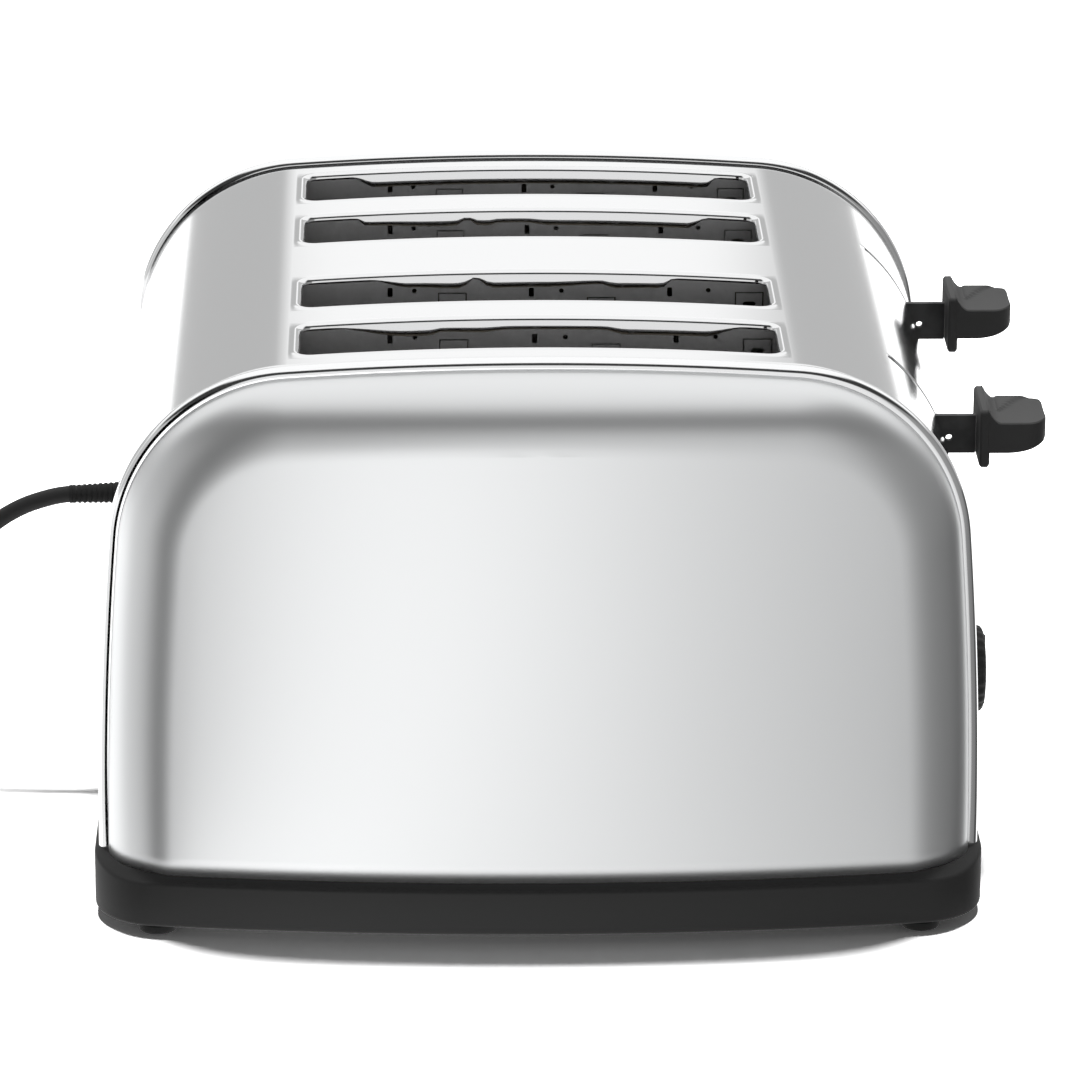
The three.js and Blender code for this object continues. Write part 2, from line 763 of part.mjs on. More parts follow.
// Thickens the panel's grid into one closed sheet; its top row folds shut at the middle
function panelShell(rows, sign) {
  const width = rows[0].length;
  const outerGrid = rows.flat().map(([x, y, z]) => vec(x, sign * y, z));
  const at = (row, column) => row * width + column;
  const faces = [];
  for (let row = 0; row < rows.length - 1; row += 1) {
    for (let column = 0; column < width - 1; column += 1) {
      faces.push([at(row, column), at(row, column + 1), at(row + 1, column + 1)]);
      faces.push([at(row, column), at(row + 1, column + 1), at(row + 1, column)]);
    }
  }
  const skin = closedGeometry(outerGrid, faces);
  const welded = mergeVertices(skin, weldTolerance);
  welded.computeVertexNormals();
  const count = welded.attributes.position.count;
  const outer = [];
  const inner = [];
  for (let i = 0; i < count; i += 1) {
    const point = new THREE.Vector3().fromBufferAttribute(welded.attributes.position, i);
    const normal = new THREE.Vector3().fromBufferAttribute(welded.attributes.normal, i);
    if (normal.dot(vec(point.x, sign * point.z, point.z - archBottom)) < 0) {
      normal.negate();
    }
    outer.push(point);
    const deep = point.clone().addScaledVector(normal, -sheet);
    deep.z = point.z < archBottom + seatGap ? point.z : deep.z;
    inner.push(deep);
  }
  const sheets = [];
  const edges = new Map();
  const index = welded.index.array;
  for (let i = 0; i < index.length; i += 3) {
    const triangle = [index[i], index[i + 1], index[i + 2]];
    if (new Set(triangle).size === 3) {
      sheets.push(triangle);
      triangle.forEach((from, k) => {
        const to = triangle[(k + 1) % 3];
        edges.set(`${from}_${to}`, [from, to]);
      });
    }
  }
  const triangles = [...sheets, ...sheets.map(([a, b, c]) => [a + count, c + count, b + count])];
  for (const [from, to] of edges.values()) {
    if (!edges.has(`${to}_${from}`)) {
      triangles.push([to, from, from + count], [to, from + count, to + count]);
    }
  }
  return closedGeometry([...outer, ...inner], triangles);
}

// The hole a guide rod passes through
function rodHole(y, low, high) {
  const from = vec(rodX, y + rodOffset, low - cutMargin);
  return bar(from, vec(rodX, y + rodOffset, high + cutMargin), rodRadius + seatGap, 12);
}

// The two bulkheads of the oven chamber, slit for the bread racks
function makeChamberPlates() {
  const slitLow = rackBottom - leverTravel - cutMargin;
  const slitHigh = rackTop + rackToothHeight + leverLift + cutMargin;
  for (const [end, name] of [[1, 'front'], [-1, 'rear']]) {
    const trayOuter = pairY + trayHalfWidth + runningGap;
    const shape = outline([
      [-chamberHalfDepth, floorTop + seatGap],
      [-trayOuter, floorTop + seatGap],
      [-trayOuter, chamberBottom],
      [-legHalfWidth, chamberBottom],
      [-legHalfWidth, floorTop + seatGap],
      [legHalfWidth, floorTop + seatGap],
      [legHalfWidth, chamberBottom],
      [trayOuter, chamberBottom],
      [trayOuter, floorTop + seatGap],
      [chamberHalfDepth, floorTop + seatGap],
      [chamberHalfDepth, chamberTop],
      [-chamberHalfDepth, chamberTop],
    ]);
    const start = end > 0 ? chamberHalfLength : -chamberHalfLength - sheet;
    const holes = slotCentres.map((slotY) => {
      const slitHalf = rackThickness / 2 + 2 * runningGap;
      return block(start - cutMargin, start + sheet + cutMargin, slotY - slitHalf, slotY + slitHalf,
        slitLow, slitHigh);
    });
    const pieces = [slab(shape, 'x', start, sheet)];
    if (end > 0) {
      for (const { sign } of sides) {
        const y = sign * pairY;
        const reach = chamberHalfLength + bracketReach;
        const tabBottom = bracketTop - carriagePlate;
        pieces.push(block(chamberHalfLength, reach, y - carriageColumnHalfWidth, y + carriageColumnHalfWidth,
          tabBottom, bracketTop));
        holes.push(rodHole(y, tabBottom, bracketTop));
      }
    }
    addPiece(`chamber_${name}_plate`, cut(joined(...pieces), ...holes), darkSteel);
  }
}

// The zigzag outline of a heating ribbon, from its two tails at the foot of the board
function ribbonOutline() {
  const half = ribbonWidth / 2;
  const pitch = (ribbonTop - ribbonBottom) / (ribbonRuns - 1);
  const centre = [[-ribbonHalfLength, boardBottom + ribbonWidth]];
  for (let run = 0; run < ribbonRuns; run += 1) {
    const z = ribbonBottom + run * pitch;
    const direction = run % 2 === 0 ? 1 : -1;
    centre.push([-direction * ribbonHalfLength, z], [direction * ribbonHalfLength, z]);
  }
  const left = [];
  const right = [];
  centre.forEach(([x, z], i) => {
    const before = centre[i - 1] ?? [x, z - 1];
    const after = centre[i + 1] ?? [x + (x - before[0]), z + (z - before[1])];
    const inward = [Math.sign(x - before[0]), Math.sign(z - before[1])];
    const onward = [Math.sign(after[0] - x), Math.sign(after[1] - z)];
    const sameLine = inward[0] === onward[0] && inward[1] === onward[1];
    const turnX = -inward[1] - (sameLine ? 0 : onward[1]);
    const turnZ = inward[0] + (sameLine ? 0 : onward[0]);
    left.push([x + half * turnX, z + half * turnZ]);
    right.push([x - half * turnX, z - half * turnZ]);
  });
  return outline([...left, ...right.reverse()]);
}

// Heater boards: one on each outer side of a pair of slots and one between them
function makeHeaters() {
  const ribbon = ribbonOutline();
  const overlap = boardThickness / 4;
  for (const { name, sign } of sides) {
    const places = [
      ['outer', sign * (outerSlotY + heaterOffset), [-sign]],
      ['middle', sign * pairY, [-1, 1]],
      ['inner', sign * (innerSlotY - heaterOffset), [sign]],
    ];
    for (const [place, y, faces] of places) {
      const halfLength = chamberHalfLength - seatGap;
      const shape = rectangle(-halfLength, halfLength, boardBottom, boardTop);
      const holeZ = (ribbonTop + boardTop) / 2;
      for (const share of boardHoleShares) {
        shape.holes.push(disc(share * halfLength, holeZ, boardHoleRadius));
      }
      const pieces = [slab(shape, 'y', y - boardThickness / 2, boardThickness, 4)];
      for (const face of faces) {
        const near = y + face * (boardThickness / 2 - overlap);
        const far = near + face * (ribbonThickness + overlap);
        pieces.push(slab(ribbon, 'y', Math.min(near, far), Math.abs(far - near)));
      }
      addPiece(`heater_${name}_${place}`, joined(...pieces), mica);
    }
  }
}

// Wire guards that keep the bread off the heaters, one cage to a slot
function makeGuards() {
  const gridY = slotWidth / 2 - guardInset;
  const endX = chamberHalfLength - seatGap - guardPlate;
  slotCentres.forEach((slotY, number) => {
    const pieces = [];
    for (const side of [-1, 1]) {
      const y = slotY + side * gridY;
      for (const z of [guardBottom + guardLegWidth, guardTop - guardLegWidth]) {
        const reach = endX + guardPlate / 2;
        pieces.push(bar(vec(-reach, y, z), vec(reach, y, z), guardWireRadius, 4));
      }
      for (let wire = 0; wire < guardWires; wire += 1) {
        const x = slotLength / 2 * (2 * (wire + 0.5) / guardWires - 1);
        pieces.push(bar(vec(x, y, guardBottom), vec(x, y, guardTop), guardWireRadius, 4));
      }
    }
    for (const start of [-endX - guardPlate, endX]) {
      const outerHalf = gridY + guardLegWidth / 2;
      const innerHalf = gridY - guardLegWidth / 2;
      pieces.push(slab(outline([
        [slotY - outerHalf, guardBottom],
        [slotY - innerHalf, guardBottom],
        [slotY - innerHalf, guardTop - guardLegWidth],
        [slotY + innerHalf, guardTop - guardLegWidth],
        [slotY + innerHalf, guardBottom],
        [slotY + outerHalf, guardBottom],
        [slotY + outerHalf, guardTop],
        [slotY - outerHalf, guardTop],
      ]), 'x', start, guardPlate));
    }
    addPiece(`bread_guard_${number + 1}`, joined(...pieces), platedSteel);
  });
}

// Toothed racks that carry the bread, with an arm out to the carriage
function makeRacks() {
  const armEnd = carriageX - seatGap;
  const tail = -chamberHalfLength - 2 * sheet;
  const toothPitch = 2 * rackHalfLength / rackTabs;
  slotCentres.forEach((slotY, number) => {
    const profile = [[tail, rackTop], [tail, rackBottom], [armEnd, rackBottom], [armEnd, rackTop]];
    for (let tooth = rackTabs - 1; tooth >= 0; tooth -= 1) {
      const x = -rackHalfLength + (tooth + 0.5) * toothPitch;
      profile.push([x + rackTabLength, rackTop]);
      profile.push([x + rackTabLength / 2, rackTop + rackToothHeight]);
      profile.push([x - rackTabLength / 2, rackTop + rackToothHeight]);
      profile.push([x - rackTabLength, rackTop]);
    }
    const pieces = [slab(outline(profile), 'y', slotY - rackThickness / 2, rackThickness)];
    for (let tab = 0; tab < rackTabs - 1; tab += 1) {
      const x = -rackHalfLength + (tab + 1) * toothPitch;
      pieces.push(block(
        x - rackTabLength / 2,
        x + rackTabLength / 2,
        slotY - rackTabWidth / 2,
        slotY + rackTabWidth / 2,
        rackTop - rackThickness,
        rackTop,
      ));
    }
    addPiece(`bread_rack_${number + 1}`, joined(...pieces), platedSteel);
  });
}

// Carriage bracket: crossbar at the racks, column, two guide shelves on the rod and the latch keeper
function makeCarriage(name, y) {
  const back = carriageX + carriagePlate;
  const slotOffset = (outerSlotY - innerSlotY) / 2 + rackThickness;
  const barBottom = barTop - carriageBarHeight;
  const halfColumn = carriageColumnHalfWidth;
  const plate = slab(outline([
    [y - slotOffset, barBottom],
    [y + slotOffset, barBottom],
    [y + slotOffset, barTop],
    [y + halfColumn, barTop],
    [y + halfColumn, stemTop],
    [y - halfColumn, stemTop],
    [y - halfColumn, barTop],
    [y - slotOffset, barTop],
  ]), 'x', carriageX, carriagePlate);
  const pieces = [plate];
  const holes = [];
  for (const z of [barTop - carriagePlate, stemTop - carriagePlate]) {
    pieces.push(block(carriageX, carriageX + carriageShelf, y + stemThickness, y + halfColumn,
      z, z + carriagePlate));
    holes.push(rodHole(y, z, z + carriagePlate));
  }
  pieces.push(block(carriageX, rodX + springRadius, y - halfColumn, y - stemThickness,
    barTop - carriagePlate, barTop));
  const keeperTop = magnetTop + seatGap + leverTravel + carriagePlate;
  pieces.push(block(carriageX, carriageX + keeperReach, y - keeperHalfWidth, y + keeperHalfWidth,
    keeperTop - carriagePlate, keeperTop));
  pieces.push(block(carriageX, back, y - keeperHalfWidth, y + keeperHalfWidth,
    keeperTop - carriagePlate, barTop));
  addPiece(`carriage_${name}`, cut(joined(...pieces), ...holes), platedSteel);
}

function makeLever(name, y) {
  const start = carriageX + carriagePlate + seatGap;
  const stem = rectangle(start, stemReach, stemBottom, stemTop);
  const holeZ = (stemTop + stemBottom) / 2 - stemHoleRadius;
  stem.holes.push(disc(stemReach - stemHoleInset, holeZ, stemHoleRadius));
  addPiece(`lever_stem_${name}`, slab(stem, 'y', y - stemThickness / 2, stemThickness, 4), darkSteel);

  const plateStart = stemReach + seatGap;
  const plateEnd = plateStart + leverPlateThickness;
  const plateHalf = leverPlateHeight / 2;
  const plateMiddle = stemTop + leverPlateRise - plateHalf;
  const plate = roundedRectangle(y, plateMiddle, leverPlateHalfWidth, plateHalf, leverPlateCorner);
  const thumbTip = baseHalfLength + thumbReach;
  const thumbTop = stemTop + thumbRise;
  const thumbDish = thumbTop - thumbDishDepth;
  const thumbBottom = thumbTop - thumbHeight;
  const thumbTipBottom = thumbTop - thumbTipHeight;
  const profile = [
    [plateEnd - cutMargin, thumbBottom],
    [thumbTip - thumbNose, thumbBottom],
    [thumbTip - thumbEase, thumbTipBottom],
    [thumbTip, thumbTipBottom + thumbEdge],
    [thumbTip - thumbEase / 2, thumbTop - thumbEase],
    [thumbTip - thumbEdge, thumbTop],
    [thumbTip - thumbNose, thumbDish + thumbEase / 2],
    [plateEnd + thumbEdge, thumbDish],
    [plateEnd - cutMargin, thumbDish + thumbEdge],
  ];
  const thumb = toSolid(slab(outline(profile), 'y', y - thumbHalfWidth, 2 * thumbHalfWidth));
  const plan = new THREE.Shape();
  plan.moveTo(plateStart, y - thumbHalfWidth);
  plan.lineTo(thumbTip - thumbNose, y - thumbHalfWidth);
  plan.quadraticCurveTo(thumbTip, y - thumbHalfWidth, thumbTip, y - thumbHalfWidth + thumbNose);
  plan.lineTo(thumbTip, y + thumbHalfWidth - thumbNose);
  plan.quadraticCurveTo(thumbTip, y + thumbHalfWidth, thumbTip - thumbNose, y + thumbHalfWidth);
  plan.lineTo(plateStart, y + thumbHalfWidth);
  const column = toSolid(slab(plan, 'z', thumbBottom - overrun, thumbTop - thumbBottom + 2 * overrun, 4));
  const knob = toSolid(slab(plate, 'x', plateStart, leverPlateThickness, 1)).add(thumb.intersect(column));
  addPiece(`lever_knob_${name}`, knob, leverPlastic);
}

function makeGuideRod(name, y) {
  const profile = [
    [0, floorTop + seatGap],
    [rodRadius, floorTop + seatGap],
    [rodRadius, bracketTop + seatGap],
    [rodHeadRadius, bracketTop + seatGap],
    [rodHeadRadius, bracketTop + seatGap + rodHeadHeight],
    [0, bracketTop + seatGap + rodHeadHeight],
  ];
  addPiece(`guide_rod_${name}`, turned(profile, 'z', 12), platedSteel).position.set(rodX, y + rodOffset, 0);
}

// A tension spring from the carriage's shelf up to the bracket
function makeSpring(name, y) {
  const low = barTop + seatGap + springWire / 2;
  const high = bracketTop - carriagePlate - seatGap - springWire / 2;
  const stepsPerTurn = 8;
  const steps = springTurns * stepsPerTurn;
  const rings = [];
  for (let i = 0; i <= steps; i += 1) {
    const angle = 2 * Math.PI * i / stepsPerTurn;
    const radius = springRadius - springWire / 2;
    const centre = vec(radius * Math.cos(angle), radius * Math.sin(angle), low + (high - low) * i / steps);
    const outward = vec(Math.cos(angle), Math.sin(angle), 0);
    rings.push(ringAround(centre, outward, axisZ, springWire / 2, springSides));
  }
  addPiece(`return_spring_${name}`, loft(rings), darkSteel).position.set(rodX, y - rodOffset, 0);
}

// Electromagnet that holds the carriage down: an E-core with its bobbin
function makeMagnet(name, y) {
  const low = floorTop + seatGap;
  const coreHalf = magnetHalfLength - magnetBobbin / 2;
  const core = slab(outline([
    [y - magnetHalfWidth, low],
    [y + magnetHalfWidth, low],
    [y + magnetHalfWidth, magnetTop],
    [y + magnetHalfWidth - magnetBobbin, magnetTop],
    [y + magnetHalfWidth - magnetBobbin, magnetTop - 3 * magnetBobbin],
    [y - magnetHalfWidth + magnetBobbin, magnetTop - 3 * magnetBobbin],
    [y - magnetHalfWidth + magnetBobbin, magnetTop],
    [y - magnetHalfWidth, magnetTop],
  ]), 'x', magnetX - coreHalf, 2 * coreHalf);
  const bobbin = block(magnetX - magnetHalfLength, magnetX + magnetHalfLength,
    y - magnetHalfWidth - magnetBobbin, y + magnetHalfWidth + magnetBobbin,
    low + 2 * magnetBobbin, magnetTop - 3 * magnetBobbin - cutMargin);
  addPiece(`latch_magnet_${name}`, joined(core, bobbin), copper);
}

// Control board with the dial's potentiometer and three push switches
function makeControls(name, y) {
  const face = controlBoardX + controlBoardThickness;
  const switchFront = face + switchDepth;
  const knobBack = wallX(knobZ, beadRise) + knobWallGap;
  const board = block(controlBoardX, face, y - controlBoardHalfWidth, y + controlBoardHalfWidth,
    floorTop + seatGap, knobZ + controlBoardRise);
  const pieces = [board, slab(disc(y, knobZ, potRadius), 'x', face - seatGap, potDepth, 5)];
  for (const step of [-1, 0, 1]) {
    const switchY = y + step * buttonPitch;
    pieces.push(block(face - seatGap, switchFront, switchY - switchHalfSize, switchY + switchHalfSize,
      buttonZ - switchHalfSize, buttonZ + switchHalfSize));
  }
  addPiece(`control_board_${name}`, joined(...pieces), circuitBoard);

  const shaftStart = face - seatGap + potDepth + seatGap;
  const shaft = bar(vec(shaftStart, 0, 0), vec(knobBack + knobDepth - shaftInset, 0, 0), shaftRadius, 12);
  addPiece(`dial_shaft_${name}`, shaft, platedSteel).position.set(0, y, knobZ);
  makeKnob(name, y, knobBack);
  [['cancel', -1], ['reheat', 0], ['defrost', 1]].forEach(([label, step]) => {
    const shape = roundedRectangle(y + step * buttonPitch, buttonZ, buttonWidth / 2, buttonHeight / 2,
      buttonHeight / 2);
    const start = switchFront + buttonTravel + seatGap;
    const end = wallX(buttonZ, beadRise) + buttonProud;
    addPiece(`${label}_button_${name}`, slab(shape, 'x', start, end - start, 1), blackPlastic);
  });
}

// Browning dial: round-edged cap with grip grooves, a raised pointer and a bore for the shaft
function makeKnob(name, y, back) {
  const depth = knobDepth;
  const round = depth / 5;
  const bore = shaftRadius + seatGap;
  const boreDepth = depth - shaftInset + seatGap;
  const profile = [
    [bore, 0],
    [knobRadius - round / 2, 0],
    [knobRadius, round / 2],
    [knobRadius - round / 3, depth - 2 * round],
    [knobRadius - round, depth - round],
    [knobRadius - 2 * round, depth - round / 2],
    [0, depth - round / 2],
    [0, boreDepth],
    [bore, boreDepth],
    [bore, 0],
  ];
  const cap = toSolid(turned(profile, 'x', 24));
  const grooves = [];
  for (let i = 0; i < knobGrooves; i += 1) {
    const angle = 2 * Math.PI * (i + 0.5) / knobGrooves;
    const reach = knobRadius + round / 6;
    const gy = reach * Math.cos(angle);
    const gz = reach * Math.sin(angle);
    grooves.push(bar(vec(round, gy, gz), vec(depth + overrun, gy, gz), round / 2, 6));
  }
  const pointerHalf = round / 2;
  const pointer = block(depth - round, depth, -pointerHalf, pointerHalf, round, knobRadius - 2 * round);
  const knob = cut(cap, ...grooves).add(toSolid(pointer));
  addPiece(`browning_knob_${name}`, knob, blackPlastic).position.set(back, y, knobZ);
}

// Crumb tray that slides out at the rear, with a finger notch in its handle
function makeTray(name, y) {
  const low = floorTop + trayRailHeight + seatGap;
  const handleStart = -baseHalfLength;
  const handleEnd = handleStart + trayHandleThickness;
  const outer = block(handleEnd - sheet, trayFront, y - trayHalfWidth, y + trayHalfWidth,
    low, low + trayWallHeight);
  const inner = block(handleEnd, trayFront - sheet, y - trayHalfWidth + sheet, y + trayHalfWidth - sheet,
    low + sheet, low + trayWallHeight + overrun);
  const halfHandle = trayHalfWidth + runningGap;
  const handle = new THREE.Shape();
  handle.moveTo(y - halfHandle, low);
  handle.lineTo(y - trayNotchRadius, low);
  handle.absarc(y, low, trayNotchRadius, Math.PI, 0, true);
  handle.lineTo(y + halfHandle, low);
  handle.lineTo(y + halfHandle, trayHandleTop);
  handle.lineTo(y - halfHandle, trayHandleTop);
  const grip = toSolid(slab(handle, 'x', handleStart, trayHandleThickness, 8));
  addPiece(`crumb_tray_${name}`, cut(toSolid(outer), inner).add(grip), darkSteel);
}

// Mains lead
function makeGland() {
  const wall = wallX(cordZ, beadRise);
  const hole = glandRadius - glandFlange - seatGap;
  const end = glandLength - glandFlange;
  const inner = cordDiameter / 2 + seatGap;
  const profile = [
    [0, -glandFlange - seatGap],
    [glandRadius - glandFlange, -glandFlange - seatGap],
    [glandRadius, -seatGap],
    [hole, -seatGap],
    [hole, sheet + 2 * seatGap],
    [glandRadius, sheet + 2 * seatGap + glandFlange],
    [inner + glandFlange, end],
    [0, end],
  ];
  const gland = addPiece('cord_gland', turned(profile, 'x', 12), rubber);
  gland.position.set(-wall, 0, cordZ);
  gland.rotation.y = Math.asin((cordZ - sideCentreZ) / sideRadius);
}

function ringAround(centre, outward, upward, radius, sidesCount) {
  const ring = [];
  for (let k = 0; k < sidesCount; k += 1) {
    const turn = 2 * Math.PI * k / sidesCount;
    ring.push(centre.clone()
      .addScaledVector(outward, radius * Math.cos(turn))
      .addScaledVector(upward, radius * Math.sin(turn)));
  }
  return ring;
}

function makeCord() {
  const route = new THREE.CatmullRomCurve3(cordRoute.map(([x, y, z]) => vec(x, y, z)), false, 'centripetal');
  const steps = Math.round(route.getLength() / (cordStepDiameters * cordDiameter));
  addPiece('cord_lead', cordAlong(route, steps), cordPlastic);

  const coil = makeCoil();
  const tail = makeTail(coil.end);
  makePlug(tail);
  const whole = (route.getLength() + pathLength(coil.centres) + tailLength) / 1000;
  console.log(`cord coil least gap ${leastGap(coil.centres).toFixed(2)} mm`);
  console.log(`cord length ${whole.toFixed(3)} m`);
}

// The coil spirals in on the lower layer, climbs, and spirals out on the upper one
function makeCoil() {
  const [startX, startY, startZ] = cordRoute.at(-1);
  const pitch = cordDiameter + coilPitchGap;
  const outerRadius = coilMeanDiameters * cordDiameter / 2 + pitch * coilTurns / 4;
  const radiusAfter = (turns) => outerRadius - pitch * Math.min(turns, coilTurns - turns);
  const start = vec(startX, startY + seatGap, startZ);
  const centre = vec(startX + outerRadius, start.y + cordDiameter, startZ);
  const centres = [start];
  const steps = coilTurns * coilStepsPerTurn;
  for (let i = 0; i <= steps; i += 1) {
    const turns = i / coilStepsPerTurn;
    const angle = Math.PI - 2 * Math.PI * turns;
    const climb = THREE.MathUtils.smoothstep(turns - coilTurns / 2, -coilClimbTurns, coilClimbTurns);
    centres.push(vec(
      centre.x + radiusAfter(turns) * Math.cos(angle),
      centre.y + radiusAfter(turns) * Math.sin(angle),
      centre.z + pitch * climb,
    ));
  }
  const end = centres.at(-1).clone();
  end.y += cordDiameter;
  centres.push(end);
  const rings = centres.map((point, i) => {
    const before = centres[Math.max(i - 1, 0)];
    const after = centres[Math.min(i + 1, centres.length - 1)];
    const ahead = after.clone().sub(before).normalize();
    const outward = ahead.clone().cross(axisZ).normalize();
    const upward = outward.clone().cross(ahead).normalize();
    return ringAround(point, outward, upward, cordDiameter / 2, 6);
  });
  addPiece('cord_coil', loft(rings), cordPlastic);
  makeTie(centre, radiusAfter(0.5), radiusAfter(coilTurns / 2), pitch);
  return { centres, end };
}

// The short stretch from the coil to the plug
function makeTail(from) {
  const start = vec(from.x, from.y + seatGap, from.z);
  const end = vec(from.x, start.y + tailLength, plugHeight / 2);
  addPiece('cord_tail', cordAlong(new THREE.LineCurve3(start, end), 3), cordPlastic);
  return end;
}

function cordAlong(path, steps) {
  const section = disc(0, 0, cordDiameter / 2);
  const options = { steps, curveSegments: cordFacets, extrudePath: path, bevelEnabled: false };
  return new THREE.ExtrudeGeometry(section, options);
}

function pathLength(points) {
  return points.slice(1).reduce((sum, point, i) => sum + point.distanceTo(points[i]), 0);
}

function leastGap(points) {
  let least = Infinity;
  points.forEach((point, i) => {
    for (let j = i + coilStepsPerTurn / 2; j < points.length; j += 1) {
      least = Math.min(least, point.distanceTo(points[j]) - cordDiameter);
    }
  });
  return least;
}

// The band that holds the coil, round all its turns on the side towards the toaster
function makeTie(centre, outerRadius, innerRadius, pitch) {
  const clearance = runningGap + seatGap;
  const halfWide = (outerRadius - innerRadius + cordDiameter) / 2 + clearance;
  const halfHigh = (pitch + cordDiameter) / 2 + seatGap;
  const x = centre.x + (outerRadius + innerRadius) / 2;
  const z = centre.z + pitch / 2;
  const round = cordDiameter / 2;
  const band = roundedRectangle(x, z, halfWide + tieThickness, halfHigh + tieThickness, round + tieThickness);
  band.holes.push(roundedRectangle(x, z, halfWide, halfHigh, round));
  addPiece('cord_tie', slab(band, 'y', centre.y - tieWidth / 2, tieWidth, 2), rubber);
}

// Three-pin plug lying on its back, its lead entering at the foot
function makePlug(entry) {
  const half = plugHalfWidth;
  const collarLength = plugLength / 6;
  const collarHalf = plugHalfWidth / 4;
  const shoulder = half * plugShoulderShare;
  const head = half * plugHeadShare;
  const body = outline([
    [collarLength, -half / 2],
    [collarLength + half / 3, -shoulder],
    [plugLength - half / 2, -half],
    [plugLength, -head],
    [plugLength, head],
    [plugLength - half / 2, half],
    [collarLength + half / 3, shoulder],
    [collarLength, half / 2],
  ]);
  const collar = rectangle(0, collarLength + overrun / 5, -collarHalf, collarHalf);
  const pieces = [
    slab(body, 'z', 0, plugHeight),
    slab(collar, 'z', plugHeight / 2 - collarHalf, 2 * collarHalf),
  ];
  const liveX = collarLength + half / 2;
  const pins = [
    { x: liveX, y: -pinSpacing / 2, halfX: pinHalfThickness, halfY: pinHalfWidth, height: pinHeight },
    { x: liveX, y: pinSpacing / 2, halfX: pinHalfThickness, halfY: pinHalfWidth, height: pinHeight },
    { x: liveX + pinSpacing, y: 0, halfX: earthHalfWidth, halfY: pinHalfThickness, height: earthHeight },
  ];
  for (const { x, y, halfX, halfY, height } of pins) {
    pieces.push(block(x - halfX, x + halfX, y - halfY, y + halfY, plugHeight - seatGap, plugHeight + height));
  }
  const plug = addPiece('mains_plug', joined(...pieces), blackPlastic);
  plug.position.set(entry.x, entry.y + seatGap, 0);
  plug.rotation.z = Math.PI / 2;
}

makeBase();
makeFeet();
makeShell();
makeTrims();
makePanels();
makeChamberPlates();
makeHeaters();
makeGuards();
makeRacks();
for (const { name, sign } of sides) {
  const y = sign * pairY;
  makeCarriage(name, y);
  makeLever(name, y);
  makeGuideRod(name, y);
  makeSpring(name, y);
  makeMagnet(name, y);
  makeControls(name, y);
  makeTray(name, y);
}
makeGland();
makeCord();

export default toaster;
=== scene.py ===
import bisect
import json
import math

import bmesh
import bpy
from bpy.props import FloatProperty, FloatVectorProperty, IntProperty, PointerProperty
from mathutils import Matrix, Vector


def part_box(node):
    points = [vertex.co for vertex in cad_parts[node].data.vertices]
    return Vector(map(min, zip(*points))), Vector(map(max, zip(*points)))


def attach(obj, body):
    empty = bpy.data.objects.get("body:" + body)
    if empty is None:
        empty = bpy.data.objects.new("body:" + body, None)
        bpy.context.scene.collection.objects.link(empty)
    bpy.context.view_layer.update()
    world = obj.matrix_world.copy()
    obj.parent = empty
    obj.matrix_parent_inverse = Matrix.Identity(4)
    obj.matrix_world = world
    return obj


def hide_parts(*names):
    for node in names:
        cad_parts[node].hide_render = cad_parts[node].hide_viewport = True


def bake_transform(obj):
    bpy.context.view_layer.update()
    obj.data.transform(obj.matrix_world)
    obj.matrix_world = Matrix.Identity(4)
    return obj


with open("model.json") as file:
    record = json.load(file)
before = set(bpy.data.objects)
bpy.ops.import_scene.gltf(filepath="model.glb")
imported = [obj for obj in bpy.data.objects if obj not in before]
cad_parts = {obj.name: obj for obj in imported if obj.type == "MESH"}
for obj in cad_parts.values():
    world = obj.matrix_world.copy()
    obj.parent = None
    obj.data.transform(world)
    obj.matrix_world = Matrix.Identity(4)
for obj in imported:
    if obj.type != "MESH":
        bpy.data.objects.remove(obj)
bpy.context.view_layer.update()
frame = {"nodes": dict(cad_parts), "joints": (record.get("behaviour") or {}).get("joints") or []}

bl_info = {
    "name": "Four-Slice Toaster",
    "version": (1, 0, 0),
    "blender": (4, 5, 0),
    "location": "View3D > Sidebar > Toaster",
    "description": "Builds the finished pieces of a four-slice toaster on its CAD frame",
    "category": "Add Mesh",
}

SIDES = (("left", -1), ("right", 1))
BUTTONS = ("cancel", "reheat", "defrost")
DEGREES = 180 / math.pi

# In metres: where the lead leaves the wall, how thick the plug is, the hole for the lead, the
# play round what passes the wrap, and the top of the lever slits
CORD_HEIGHT = 0.097
PLUG_DEPTH = 0.019
LEAD_HOLE = 0.0052
HOLE_PLAY = 0.0004
SLIT_TOP = 0.160


# Sizes and colours that a user may change

def length(default, name, description):
    return FloatProperty(name=name, description=description, default=default, min=0.0,
                         precision=5, unit="LENGTH")


def angle(default, name, description):
    return FloatProperty(name=name, description=description, default=math.radians(default),
                         unit="ROTATION")


def share(default, name, description):
    return FloatProperty(name=name, description=description, default=default, min=0.0, max=1.0,
                         subtype="FACTOR")


def colour(default, name, description):
    return FloatVectorProperty(name=name, description=description, default=default, size=3,
                               min=0.0, max=1.0, subtype="COLOR")


